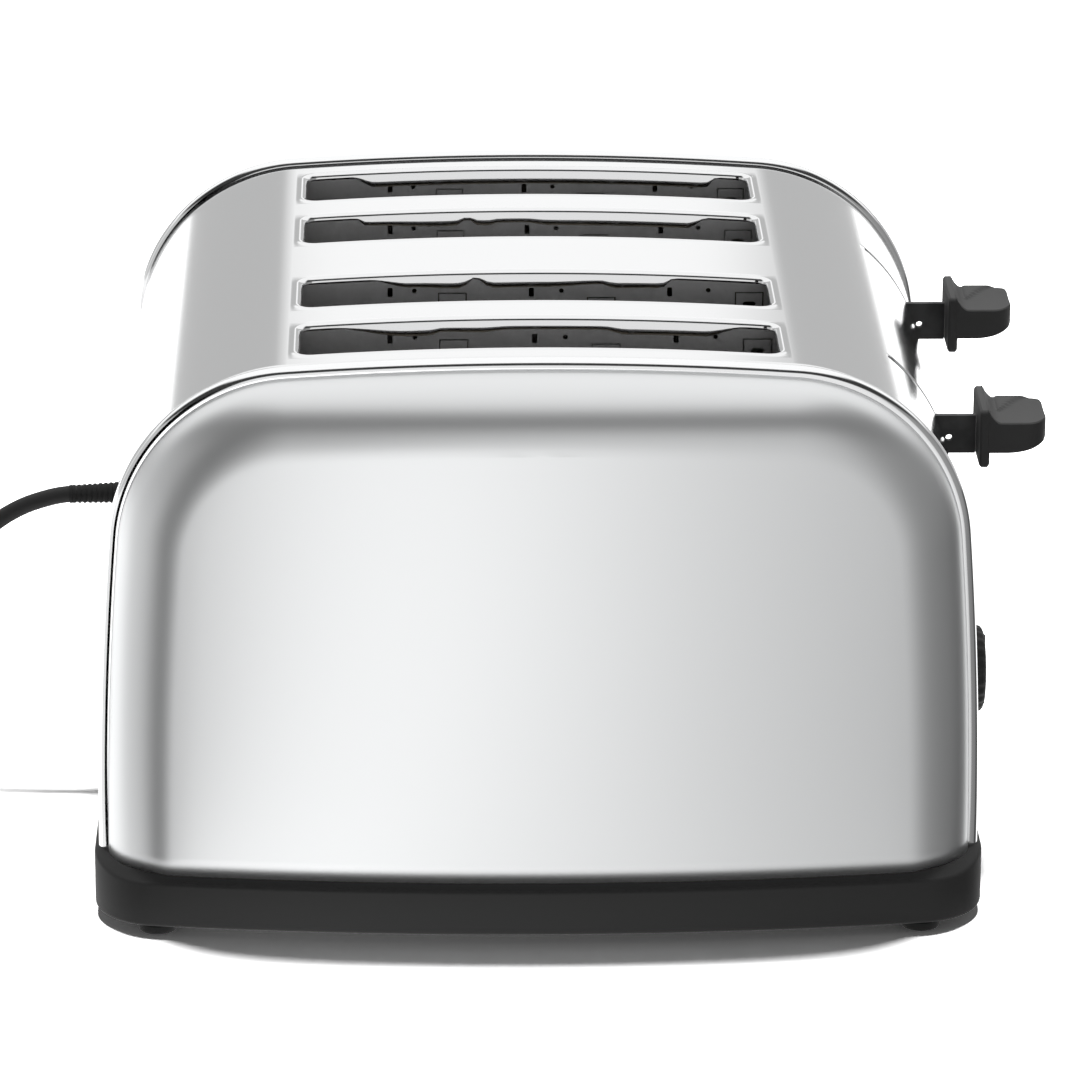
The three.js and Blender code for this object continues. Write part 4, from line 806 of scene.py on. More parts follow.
def group(name):
    """One of the shared effects, made the first time that it is asked for."""
    makers = {"brushing": brushing_group, "moulding": moulding_group,
              "plating": plating_group, "studio_round": studio_group}
    return bpy.data.node_groups.get(name) or makers[name]()


def material(name, build):
    """A material by name; build gets the node helper and returns the inputs of its shader."""
    made = bpy.data.materials.get(name)
    if made is None:
        made = bpy.data.materials.new(name)
        n = Nodes.of(made)
        shader = n.add("ShaderNodeBsdfPrincipled", build(n))
        n.add("ShaderNodeOutputMaterial", {"Surface": shader.outputs[0]})
    return made


def finishes():
    return bpy.context.scene.toaster_finishes


def shade(value, factor):
    return tuple(min(1.0, v * factor) for v in value)


def brushed_metal(name, tint, rough, spread_by, anisotropic, across, along, bump):
    """Metal with scratches along V of its surface coordinates and glints spread along U."""
    def build(n):
        place = n.add("ShaderNodeUVMap", uv_map="surface").outputs[0]
        grain = n.effect("brushing", Place=place, Across=across, Along=along)
        streaks, bands = grain["Streaks"], grain["Bands"]
        tone = n.math("ADD", n.math("MULTIPLY", streaks, 0.6), n.math("MULTIPLY", bands, 0.4))
        roughness = n.math("ADD", n.ramp(tone, 0.25, 0.75, rough - spread_by, rough + spread_by),
                           n.ramp(grain["Patches"], 0.35, 0.75, 0.0, spread_by / 2))
        tangent = n.add("ShaderNodeTangent", direction_type="UV_MAP", uv_map="surface")
        return {"Base Color": n.mix(n.ramp(tone, 0.3, 0.7), shade(tint, 0.965), tint),
                "Metallic": 1.0, "Roughness": roughness, "Anisotropic": anisotropic,
                "Tangent": tangent.outputs[0], "Normal": n.bump(streaks, bump, 0.00004)}
    return material(name, build)


def polished_steel():
    return brushed_metal("polished_steel", finishes().polished, 0.085, 0.02, 0.35,
                         5200.0, 9.0, 0.10)


def brushed_steel():
    return brushed_metal("brushed_steel", finishes().brushed, 0.20, 0.025, 0.97,
                         4200.0, 14.0, 0.20)


def plain_metal(name, tint, dark, rough, size=90.0, pits=0.12, metallic=1.0):
    """Plated or painted metal with faint blotches and pits."""
    def build(n):
        marks = n.effect("plating", Place=n.place(), Size=size)
        return {"Base Color": n.mix(marks["Blotches"], tint, dark), "Metallic": metallic,
                "Roughness": n.ramp(marks["Blotches"], 0.0, 1.0, rough, rough * 1.35),
                "Normal": n.bump(marks["Pits"], pits, 0.00006)}
    return material(name, build)


def chrome_trim():
    tint = finishes().chrome
    return plain_metal("chrome_trim", tint, shade(tint, 0.975), 0.05, 35.0, 0.02)


def plated_steel():
    tint = finishes().plated
    return plain_metal("plated_steel", tint, shade(tint, 0.8), 0.34)


def guard_steel():
    tint = finishes().guard
    return plain_metal("guard_steel", tint, shade(tint, 0.8), 0.42, 60.0, 0.1)


def dark_steel():
    tint = finishes().dark_steel
    return plain_metal("dark_steel", tint, shade(tint, 0.7), 0.45, 70.0, 0.15, 0.6)


def stem_paint():
    tint = finishes().stem
    return plain_metal("stem_paint", tint, shade(tint, 0.8), 0.42, 120.0, 0.12, 0.0)


def brass():
    tint = finishes().brass
    return plain_metal("brass_pins", tint, shade(tint, 0.85), 0.22, 120.0)


def moulded(name, tint, rough, grain=2200.0, bump=0.25, shine=0.5):
    """Moulded plastic or rubber with its eroded grain, faint wear and a trace of dust."""
    def build(n):
        skin = n.effect("moulding", Place=n.place(), Grain=grain)
        worn = n.mix(skin["Wear"], tint, shade(tint, 1.25))
        dusty = n.mix(n.math("MULTIPLY", skin["Dust"], 0.05), worn, (0.30, 0.29, 0.28))
        return {"Base Color": dusty, "Normal": n.bump(skin["Height"], bump, 0.00008),
                "Specular IOR Level": shine,
                "Roughness": n.ramp(skin["Wear"], 0.0, 1.0, rough, rough * 0.82)}
    return material(name, build)


def black_plastic():
    return moulded("black_plastic", finishes().black, 0.46, shine=0.15)


def lever_plastic():
    return moulded("lever_plastic", finishes().lever, 0.40, 2600.0, 0.18, shine=0.15)


def rubber():
    return moulded("rubber", finishes().rubber, 0.78, 1500.0, 0.4)


def cord_plastic():
    return moulded("cord_plastic", finishes().lead, 0.50, 1800.0, 0.15)


def mica():
    """Pressed mica sheet: pearly flakes in a tan binder."""
    def build(n):
        place = n.place()
        flakes = n.add("ShaderNodeTexVoronoi", {"Vector": place, "Scale": 420.0})
        tint = finishes().mica
        tone = n.add("ShaderNodeSeparateColor", {0: flakes.outputs["Color"]}).outputs[0]
        stain = n.ramp(n.noise(place, 38.0, 4.0, 0.6), 0.35, 0.7)
        flaked = n.mix(tone, shade(tint, 0.72), shade(tint, 1.2))
        return {"Base Color": n.mix(n.math("MULTIPLY", stain, 0.5), flaked, shade(tint, 0.5)),
                "Roughness": n.ramp(tone, 0.0, 1.0, 0.3, 0.6),
                "Normal": n.bump(tone, 0.2, 0.00005)}
    return material("mica", build)


def circuit_board():
    """Lacquered board: tracks show as lighter, slightly raised lines, with tinned pads."""
    def build(n):
        place = n.place()
        tint = finishes().board
        bricks = n.add("ShaderNodeTexBrick", {
            "Vector": n.add("ShaderNodeMapping", {"Vector": place, "Rotation": (
                math.pi / 2, 0.0, math.pi / 2)}).outputs[0],
            "Scale": 90.0, "Mortar Size": 0.09, "Mortar Smooth": 0.2, "Bias": 0.0,
            "Brick Width": 0.62, "Row Height": 0.3}).outputs["Fac"]
        pads = n.ramp(n.add("ShaderNodeTexVoronoi", {"Vector": place, "Scale": 190.0})
                      .outputs["Distance"], 0.2, 0.16)
        tracked = n.mix(bricks, tint, shade(tint, 1.8))
        return {"Base Color": n.mix(n.math("MULTIPLY", pads, 0.6), tracked, (0.6, 0.6, 0.58)),
                "Roughness": n.ramp(pads, 0.0, 1.0, 0.35, 0.25),
                "Normal": n.bump(bricks, 0.3, 0.00006)}
    return material("circuit_board", build)


def copper_winding():
    """Varnished wire wound in fine rows over the magnet's core."""
    def build(n):
        place = n.place()
        wires = n.add("ShaderNodeTexWave", {"Vector": place, "Scale": 520.0, "Distortion": 0.4,
                                            "Detail": 1.0}, bands_direction="Z").outputs["Fac"]
        tint = finishes().copper
        return {"Base Color": n.mix(wires, shade(tint, 0.45), tint), "Metallic": 0.9,
                "Roughness": n.ramp(wires, 0.0, 1.0, 0.45, 0.25),
                "Normal": n.bump(wires, 0.6, 0.0002)}
    return material("copper_winding", build)


# Operators, one for each piece or group of like pieces

class TOASTER_OT_stage(bpy.types.Operator):
    """Set up the camera, the pale floor, the studio's tones and the two lamps."""
    bl_idname = "toaster.stage"
    bl_label = "Stage"

    # In metres: the lamps' height and the floor's half width
    lamp_height = 1.6
    floor_half = 9

    # Tones that the panels mirror, from the lead's end of the floor to the levers' end
    sweep = ((0.0, 0.84), (0.16, 0.92), (0.34, 1.0), (0.5, 0.79), (0.66, 0.57), (0.82, 0.46),
             (1.0, 0.43))

    def execute(self, context):
        scene = context.scene
        stage = scene.toaster_stage
        self.add_camera(scene, stage)
        self.add_floor(scene)
        self.light_world(scene, stage)
        for name, across in (("left_lamp", -stage.lamp_across), ("right_lamp", stage.lamp_across)):
            lamp = bpy.data.lights.new(name, "SUN")
            lamp.angle = stage.lamp_spread
            lamp.energy = stage.lamp
            holder = bpy.data.objects.new(name, lamp)
            holder.location = (across, stage.lamp_behind, self.lamp_height)
            holder.rotation_euler = (-Vector(holder.location)).to_track_quat("-Z", "Y").to_euler()
            holder.visible_glossy = False
            scene.collection.objects.link(holder)
        scene.view_settings.view_transform = "Standard"
        return {"FINISHED"}

    def add_camera(self, scene, stage):
        data = bpy.data.cameras.new("camera")
        data.lens = stage.lens
        data.sensor_width = 36.0
        data.sensor_fit = "HORIZONTAL"
        data.clip_end = 50.0
        ahead = Vector((math.sin(stage.yaw) * math.cos(stage.pitch),
                        math.cos(stage.yaw) * math.cos(stage.pitch), -math.sin(stage.pitch)))
        level = ahead.cross(Vector((0, 0, 1))).normalized()
        upright = level.cross(ahead)
        right = level * math.cos(stage.roll) + upright * math.sin(stage.roll)
        up = right.cross(ahead)
        turn = Matrix((right, up, -ahead)).transposed()
        camera = bpy.data.objects.new("camera", data)
        camera.matrix_world = Matrix.Translation(stage.camera) @ turn.to_4x4()
        scene.collection.objects.link(camera)
        scene.camera = camera

    def add_floor(self, scene):
        points = [Vector((x * self.floor_half, y * self.floor_half, 0.0))
                  for x, y in ((-1, -1), (1, -1), (1, 1), (-1, 1))]
        floor = bpy.data.objects.new("floor", new_mesh("floor", points, [(0, 1, 2, 3)],
                                                       outward=False))
        scene.collection.objects.link(floor)
        made = bpy.data.materials.new("pale_floor")
        n = Nodes.of(made)
        place = n.add("ShaderNodeSeparateXYZ", {0: n.add("ShaderNodeNewGeometry")
                                                .outputs["Position"]})
        x, y = place.outputs[0], place.outputs[1]
        tones = []
        panel_low, panel_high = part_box("side_panel_left")
        for corner in (panel_low.x + 0.016, panel_high.x - 0.012):
            across = n.math("SUBTRACT", x, corner)
            ahead = n.math("SUBTRACT", panel_low.y + 0.008, y)
            turn = n.math("MULTIPLY", n.math("ARCTAN2", across, ahead), DEGREES)
            kept = n.math("MINIMUM" if corner < 0 else "MAXIMUM", turn, 0.0)
            tone = n.effect("studio_round", Turn=kept)[0]
            reach = n.math("SQRT", n.math("ADD", n.math("MULTIPLY", across, across),
                                          n.math("MULTIPLY", ahead, ahead)))
            far = n.ramp(reach, 0.01, 0.04)
            tones.append(n.blend(far, 0.85, tone))
        sweep = n.tones(n.ramp(x, -0.25, 0.25, smooth=False), self.sweep)
        front = n.ramp(y, -0.10, -0.14)
        swept = n.blend(front, 1.0, sweep)
        deep = n.ramp(y, -0.28, -0.58, 1.0, 1.25, smooth=False)
        seen = n.math("MULTIPLY", n.math("MULTIPLY", tones[0], tones[1]),
                      n.math("MULTIPLY", swept, deep))
        path = n.add("ShaderNodeLightPath")
        plain = n.add("ShaderNodeBsdfDiffuse", {"Color": n.blend(path.outputs["Is Camera Ray"],
                                                                 0.35, 1.42)})
        mirrored = n.add("ShaderNodeEmission", {"Color": (1.0, 1.0, 1.0, 1.0),
                                                "Strength": n.math("MULTIPLY", seen, 1.95)})
        both = n.add("ShaderNodeMixShader", {0: path.outputs["Is Glossy Ray"],
                                             1: plain.outputs[0], 2: mirrored.outputs[0]})
        n.add("ShaderNodeOutputMaterial", {"Surface": both.outputs[0]})
        floor.data.materials.append(made)

    def light_world(self, scene, stage):
        world = bpy.data.worlds.new("studio")
        scene.world = world
        n = Nodes.of(world)
        way = n.add("ShaderNodeSeparateXYZ", {0: n.add("ShaderNodeTexCoord").outputs["Generated"]})
        x, y, z = way.outputs
        rise = n.math("MULTIPLY", n.math("ARCSINE", z), DEGREES)
        turn = n.math("MULTIPLY", n.math("ARCTAN2", x, n.math("MULTIPLY", y, -1.0)), DEGREES)
        behind = n.math("MULTIPLY", n.math("ARCTAN2", x, y), DEGREES)
        tone = n.effect("studio_round", Turn=turn)[0]
        box = n.ramp(rise, 57.0, 66.0)
        gap = n.math("MULTIPLY", n.ramp(rise, 26.0, 33.0), n.math("SUBTRACT", 1.0, box))
        front = n.blend(box, n.blend(gap, tone, 0.045), 1.15)
        strip = n.math("MULTIPLY", n.ramp(behind, -6.0, -2.5), n.ramp(behind, 7.5, 4.5))
        wall = n.blend(strip, 0.56, 1.15)
        back = n.blend(n.ramp(rise, 20.5, 24.0), wall, 1.15)
        faces_front = n.ramp(n.math("ABSOLUTE", turn), 112.0, 84.0)
        studio = n.blend(faces_front, back, front)
        path = n.add("ShaderNodeLightPath")
        level = n.blend(path.outputs["Is Glossy Ray"], stage.fill, studio)
        level = n.blend(path.outputs["Is Camera Ray"], level, 1.0)
        sky = n.add("ShaderNodeBackground", {"Color": (1.0, 1.0, 1.0, 1.0), "Strength": level})
        n.add("ShaderNodeOutputWorld", {"Surface": sky.outputs[0]})


class TOASTER_OT_cord(bpy.types.Operator):
    """Lay the mains lead with its coil, guard and tie."""
    bl_idname = "toaster.cord"
    bl_label = "Mains lead"

    # The free stretch, in metres: down from the rear wall and along the table to the coil
    route = (
        (-0.14087, 0, CORD_HEIGHT), (-0.1466, 0, 0.0969), (-0.1524, 0, 0.0967),
        (-0.1582, 0, 0.0964), (-0.1612, 0, 0.096), (-0.1644, 0, 0.0953),
        (-0.1724, 0, 0.0926), (-0.1804, 0, 0.088), (-0.1879, 0, 0.0812), (-0.1939, 0, 0.0724),
        (-0.1984, 0, 0.0615), (-0.202, 0, 0.0495), (-0.2059, 0, 0.0374), (-0.2114, 0, 0.0256),
        (-0.2194, 0, 0.0154), (-0.2299, 0, 0.0078), (-0.2414, 0.0002, 0.0037),
        (-0.2514, 0.0022, 0.0028), (-0.2609, 0.0075, 0.0028), (-0.2682, 0.0156, 0.0028),
        (-0.2724, 0.0256, 0.0028), (-0.2744, 0.037, 0.0028), (-0.2748, 0.052, 0.0028),
        (-0.2748, 0.076, 0.0028), (-0.2748, 0.1, 0.0028), (-0.2748, 0.12, 0.003),
        (-0.2748, 0.136, 0.0035),
    )

    def execute(self, context):
        cord = context.scene.toaster_cord
        line = self.smooth_route()
        line += self.coil(line[-1], cord)
        tail_start = line[-1]
        tail_end = Vector((tail_start.x, tail_start.y + cord.tail, PLUG_DEPTH / 2))
        line += [tail_start.lerp(tail_end, k / 4) for k in range(1, 5)]
        curve = bpy.data.curves.new("mains_lead", "CURVE")
        curve.dimensions = "3D"
        curve.bevel_depth = cord.diameter / 2
        curve.bevel_resolution = 5
        curve.use_fill_caps = True
        spline = curve.splines.new("POLY")
        spline.points.add(len(line) - 1)
        for spot, point in zip(spline.points, line):
            spot.co = (*point, 1.0)
        lead = add_piece("mains_lead", curve, "housing", cord_plastic(),
                         ("cord_lead", "cord_coil", "cord_tail"))
        self.add_guard(cord)
        tie = self.add_tie(cord)
        return {"FINISHED"}

    def smooth_route(self):
        """The route as a smooth line through its points."""
        knots = [Vector(p) for p in self.route]
        ends = [knots[0] * 2 - knots[1], *knots, knots[-1] * 2 - knots[-2]]
        line = [knots[0]]
        for p0, p1, p2, p3 in zip(ends, ends[1:], ends[2:], ends[3:]):
            d1, d2, d3 = [max((b - a).length, 1e-6) ** 0.5
                          for a, b in ((p0, p1), (p1, p2), (p2, p3))]
            m1 = (p2 - p1) + ((p1 - p0) / d1 - (p2 - p0) / (d1 + d2)) * d2
            m2 = (p2 - p1) + ((p3 - p2) / d3 - (p3 - p1) / (d2 + d3)) * d2
            for k in range(1, 5):
                t = k / 4
                line.append(p1 * (2 * t ** 3 - 3 * t ** 2 + 1) + m1 * (t ** 3 - 2 * t ** 2 + t)
                            + p2 * (3 * t ** 2 - 2 * t ** 3) + m2 * (t ** 3 - t ** 2))
        return line

    def coil(self, start, cord):
        """Turns that wind in on the table, climb, and wind out on top of each other."""
        pitch = cord.diameter + cord.coil_gap
        outer = 5.5 * cord.diameter + pitch * cord.coil_turns / 4
        first = start + Vector((0, 0.0003, 0))
        centre = Vector((start.x + outer, first.y + cord.diameter, start.z))
        line = [first]
        per_turn = 48
        for i in range(per_turn * cord.coil_turns + 1):
            turns = i / per_turn
            turn = math.pi - 2 * math.pi * turns
            radius = outer - pitch * min(turns, cord.coil_turns - turns)
            climb = eased(clamped((turns - cord.coil_turns / 2 + 0.25) / 0.5))
            line.append(centre + Vector((radius * math.cos(turn), radius * math.sin(turn),
                                         pitch * climb)))
        line.append(line[-1] + Vector((0, cord.diameter, 0)))
        line.append(line[-1] + Vector((0, 0.0003, 0)))
        return line

    def add_guard(self, cord):
        """The grommet in the wall and the slim ribbed sleeve that the lead leaves it by."""
        body = bpy.context.scene.toaster_body
        arch = Arch(body, body.bead_rise)
        x, z, nx, nz = arch.at(-arch.place_at_height(CORD_HEIGHT))
        hole = cord.diameter / 2 + 0.0001
        # Both outlines hold a radius and a place along the lead
        grommet = [(hole, 0.001), (0.0052, 0.001), (0.0058, 0.0009), (0.0061, 0.0006),
                   (0.0062, 0.0002), (0.0062, 0.0), (0.0049, 0.0), (0.0049, -0.001),
                   (0.006, -0.0012), (0.006, -0.0024), (0.005, -0.0048), (hole, -0.0048)]
        way = Vector(self.route[3]) - Vector(self.route[0])
        sleeve = [(hole, 0.0006), (0.0038, 0.0006), (0.0036, 0.0014)]
        for k in range(9):
            at = 0.0016 + 0.0017 * k
            radius = 0.0034 - 0.00045 * k / 8
            sleeve += [(radius - 0.0003, at), (radius, at + 0.0002), (radius, at + 0.001),
                       (radius - 0.0003, at + 0.0012)]
        sleeve += [(0.00295, 0.0164), (0.0029, way.length - 0.0001), (hole, way.length)]
        shape = merged([turned(grommet, (x, 0, z), (nx, 0, nz), 48),
                        turned(sleeve, (x, 0, z), way, 48)])
        add_shape("lead_guard", shape, 40, "housing", rubber(), ("cord_gland",))

    def add_tie(self, cord):
        low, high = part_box("cord_tie")
        middle = (low + high) / 2
        half = (high - low) / 2
        band = 0.0005
        rings = []
        # Out along the band and back inside it: depth, inset and corner radius
        for depth, inset, corner in ((-1, 0.0001, 0.0004), (-0.9, 0.0, 0.0004),
                                     (0.9, 0.0, 0.0004), (1, 0.0001, 0.0004),
                                     (1, band, 0.0), (-1, band, 0.0)):
            outline = round_outline(half.x - inset, half.z - inset, cord.diameter / 2 + corner, 8)
            rings.append(flat_ring(1, middle.y + depth * half.y, (middle.x, middle.z), outline))
        return add_shape("lead_tie", loft(rings, looped=True), 40, "housing", rubber(),
                         ("cord_tie",))


class TOASTER_OT_plug(bpy.types.Operator):
    """Add the three-pin plug."""
    bl_idname = "toaster.plug"
    bl_label = "Plug"

    def execute(self, context):
        low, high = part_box("mains_plug")
        middle = (low.x + high.x) / 2
        half = (high.x - low.x) / 2
        deep = PLUG_DEPTH
        back = low.y
        collar = 0.0073
        outline = [(-half * 0.5, collar), (-half * 0.8, collar + 0.008),
                   (-half * 0.97, high.y - back - 0.022), (-half, high.y - back - 0.012),
                   (-half * 0.93, high.y - back - 0.004), (-half * 0.72, high.y - back)]
        outline += [(-u, v) for u, v in reversed(outline)]
        rings = []
        # How much smaller the outline is at each height, with the parting line half way up
        for shrink, z in ((0.0016, 0.0), (0.0004, 0.0008), (0.0, 0.0022), (0.0, deep * 0.44),
                          (0.0007, deep * 0.47), (0.0007, deep * 0.5), (0.0, deep * 0.53),
                          (0.0, deep - 0.0018), (0.0004, deep - 0.0006), (0.0016, deep)):
            ring = []
            for u, v in outline:
                scale = 1 - shrink / half
                ring.append(Vector((middle + u * scale,
                                    back + collar + (v - collar) * (1 - shrink / 0.04)
                                    + shrink * 0.5, z)))
            rings.append(ring)
        parts = [loft(rings)]
        ribs = [(0.0028, 0.0)]
        for k in range(5):
            at = collar * k / 5
            ribs += [(0.0046 + 0.0002 * k, at + 0.0002), (0.0046 + 0.0002 * k, at + 0.0009),
                     (0.0038 + 0.0002 * k, at + 0.0011), (0.0038 + 0.0002 * k, at + 0.0014)]
        ribs += [(0.0058, collar + 0.002), (0.0028, collar + 0.002)]
        parts.append(turned(ribs, (middle, back, deep / 2), (0, 1, 0), 40))
        body = add_shape("plug_body", merged(parts), 50, "housing",
                         black_plastic(), ("mains_plug",))
        soften(body, 0.0012, 3, 30)
        # Each pin's middle, half its width and depth, and its height
        live = back + collar + half / 2
        pins = [(middle - 0.0111, live, 0.0032, 0.002, 0.0177),
                (middle + 0.0111, live, 0.0032, 0.002, 0.0177),
                (middle, live + 0.0222, 0.002, 0.004, 0.0227)]
        parts = []
        for x, y, half_x, half_y, tall in pins:
            top = deep + tall
            parts.append(loft([
                flat_ring(2, z, (x, y), round_outline(half_x - inset, half_y - inset, 0.0006, 3))
                for inset, z in ((0.0, deep - 0.0005), (0.0, top - 0.0015),
                                 (0.0003, top - 0.0006), (0.0009, top))]))
        add_shape("plug_pins", merged(parts), 35, "housing", brass())
        return {"FINISHED"}


class TOASTER_OT_wrap(bpy.types.Operator):
    """Add the polished wrap with its rolled slot lips."""
    bl_idname = "toaster.wrap"
    bl_label = "Wrap"

    def execute(self, context):
        body = context.scene.toaster_body
        points, faces, uvs = wrap_skin(body, context.scene.toaster_slots)
        mesh = new_mesh("polished_wrap", points, faces, uvs, outward=False)
        piece = add_piece("polished_wrap", mesh, "housing", polished_steel(),
                          ("centre_shell",))
        thicken(piece, body.sheet)
        return {"FINISHED"}


class TOASTER_OT_beads(bpy.types.Operator):
    """Add the chromed beads between the wrap and the side panels."""
    bl_idname = "toaster.beads"
    bl_label = "Beads"

    def execute(self, context):
        body = context.scene.toaster_body
        arch = Arch(body)
        radius = body.bead_radius
        section = [(radius * (1 - math.sin(turn)), -radius * math.cos(turn))
                   for turn in spread(0.0, math.pi, 16)]
        # The half round's back, with the tongue that holds it between wrap and panel
        back, tip, half_tongue = radius + 0.0005, radius + 0.0075, 0.001
        section += [(back, radius), (back, half_tongue), (tip, half_tongue),
                    (tip, -half_tongue), (back, -half_tongue), (back, -radius)]
        for name, sign in SIDES:
            rings = []
            for place in arch.places():
                ring = []
                for inset, along in section:
                    x, z = arch.inside(place, inset)
                    ring.append(Vector((x, sign * (body.bead_plane + along), z)))
                rings.append(ring)
            add_shape(f"chromed_bead_{name}", loft(rings), 40, "housing",
                      chrome_trim(), (f"trim_{name}",))
        return {"FINISHED"}


class TOASTER_OT_panels(bpy.types.Operator):
    """Add the pressed and brushed side panels."""
    bl_idname = "toaster.panels"
    bl_label = "Side panels"

    def execute(self, context):
        body = context.scene.toaster_body
        rows = self.rows(body)
        width = len(rows[0])
        for name, sign in SIDES:
            points, faces, uvs = [], [], []
            for row in rows:
                for x, y, z in row:
                    points.append(Vector((x, sign * y, z)))
                    uvs.append((z, x))
            for i in range(len(rows) - 1):
                for j in range(width - 1):
                    a = i * width + j
                    quad = (a, a + 1, a + width + 1, a + width)
                    faces.append(quad if sign < 0 else quad[::-1])
            mesh = new_mesh(f"brushed_panel_{name}", points, faces, uvs, outward=False)
            rework(mesh, lambda work: bmesh.ops.remove_doubles(work, verts=work.verts,
                                                               dist=1e-6))
            piece = add_piece(f"brushed_panel_{name}", mesh, "housing",
                              brushed_steel(), (f"side_panel_{name}",))
            thicken(piece, body.sheet)
        return {"FINISHED"}

    def rows(self, body):
        """Rows from foot to crest: round edge, face, round edge."""
        arch = Arch(body)
        rim = body.bead_radius + body.seat_gap
        rim_y = body.bead_plane + body.bead_radius + body.seat_gap

        def face_at(x, z):
            lean = body.panel_lean * (z - body.arch_foot) / (body.crest_height - body.arch_foot)
            return body.panel_depth - (x - arch.middle) ** 2 / (2 * body.panel_bow) - lean

        rows = []
        for place in arch.places():
            if place > 0:
                continue
            half = []
            for turn in spread(0.0, math.pi / 2, 18):
                x, z = arch.inside(place, rim + body.panel_round * (1 - math.cos(turn)))
                half.append((x, rim_y + (face_at(x, z) - rim_y) * math.sin(turn), z))
            edge_x, _, edge_z = half[-1]
            face = []
            for along in spread(0.0, 1.0, 30)[1:-1]:
                x = edge_x + 2 * (arch.middle - edge_x) * along
                face.append((x, face_at(x, edge_z), edge_z))
            mirrored = [(2 * arch.middle - x, y, z) for x, y, z in reversed(half)]
            rows.append(half + face + mirrored)
        return rows


class TOASTER_OT_base(bpy.types.Operator):
    """Add the moulded base with its vents and the rubber feet."""
    bl_idname = "toaster.base"
    bl_label = "Base and feet"

    # In metres: the floor of the base, the mouth's distance from the edge, the pitch of the
    # vents and half their length and width, and the height of a foot's pad
    floor = 0.0022
    mouth = 0.0065
    vent_pitch = 0.011
    vent_half = (0.052, 0.0017)
    pad = 0.0029

    def execute(self, context):
        body = context.scene.toaster_body
        low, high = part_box("base_tray")
        middle = (low.x + high.x) / 2
        bottom, top = low.z, high.z

        def ring(inset, z, drop=0.0):
            points = []
            for x, y in self.plan(body, inset):
                side = clamped((abs(y) - body.bead_plane) / body.base_corner)
                points.append(Vector((middle + x, y, z - drop * eased(side))))
            return points

        edge = body.base_round
        lowered = body.rim_drop + body.rim_fall
        quarter = spread(0.0, math.pi / 2, 4)
        profile = [(edge * (1 - math.sin(turn)), bottom + edge * (1 - math.cos(turn)))
                   for turn in quarter]
        profile += [(edge * (1 - math.cos(turn)), top - edge * (1 - math.sin(turn)), lowered)
                    for turn in quarter]
        profile.append((body.rim_width, top, body.rim_drop))
        shell = new_mesh("moulded_base", *loft([ring(*step) for step in profile]))
        floor_top = bottom + self.floor
        hollow = loft([ring(body.base_wall, floor_top),
                       ring(body.base_wall, top - 0.0036, lowered)])
        mouth = loft([ring(self.mouth, floor_top + 0.001), ring(self.mouth, top + 0.005)])
        vent = round_outline(*self.vent_half, 0.0016, 5)
        gaps = []
        for name, _ in SIDES:
            tray_low, tray_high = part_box(f"crumb_tray_{name}")
            centre = (tray_low.y + tray_high.y) / 2
            gaps.append(block((low.x - 0.005, tray_low.y - 0.0004, tray_low.z - 0.0003),
                              (low.x + self.mouth, tray_high.y + 0.0004, tray_high.z + 0.0003)))
            gaps += [prism(2, (0.0, floor_top + 0.004), vent,
                           (middle, centre + k * self.vent_pitch)) for k in range(-3, 4)]
        mesh = cut(shell, hollow, mouth, merged(gaps))
        smooth(mesh, 28)
        add_piece("moulded_base", mesh, "housing", black_plastic(),
                  ("base_tray",))
        for end in ("front", "rear"):
            for name, _ in SIDES:
                self.add_foot(f"rubber_foot_{end}_{name}", end, name)
        return {"FINISHED"}

    def plan(self, body, inset):
        """The plan of the base: bowed long sides, straight short sides, round corners."""
        corner, bow = body.base_corner, body.base_bow
        corner_x = body.base_half_length - corner
        bow_angle = math.asin(corner_x / (bow - corner))
        bow_centre = body.base_half_depth - bow
        corner_y = bow_centre + (bow - corner) * math.cos(bow_angle)
        quarter = []
        for k in range(17):
            turn = bow_angle + (math.pi / 2 - bow_angle) * (1 - k / 16)
            quarter.append((corner_x + (corner - inset) * math.sin(turn),
                            corner_y + (corner - inset) * math.cos(turn)))
        for k in range(1, 12):
            turn = bow_angle * (1 - k / 12)
            quarter.append(((bow - inset) * math.sin(turn),
                            bow_centre + (bow - inset) * math.cos(turn)))
        half = quarter + [(0.0, body.base_half_depth - inset)]
        half += [(-x, y) for x, y in reversed(quarter)]
        return half + [(x, -y) for x, y in reversed(half)]

    def add_foot(self, node, end, name):
        low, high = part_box(node)
        middle = (low + high) / 2
        radius = (high.x - low.x) / 2
        top = self.pad
        profile = [(0.0, 0.0006), (radius * 0.35, 0.0006), (radius * 0.4, 0.0),
                   (radius - 0.0008, 0.0), (radius - 0.0003, 0.0002), (radius, 0.0008),
                   (radius, top - 0.0003), (radius - 0.0003, top), (0.003, top),
                   (0.003, high.z - 0.003), (0.0039, high.z - 0.0028), (0.003, high.z),
                   (0.0, high.z)]
        shape = turned(profile, (middle.x, middle.y, 0.0), (0, 0, 1), 48)
        add_shape(f"foot_{end}_{name}", shape, 40, "housing", rubber(), (node,))


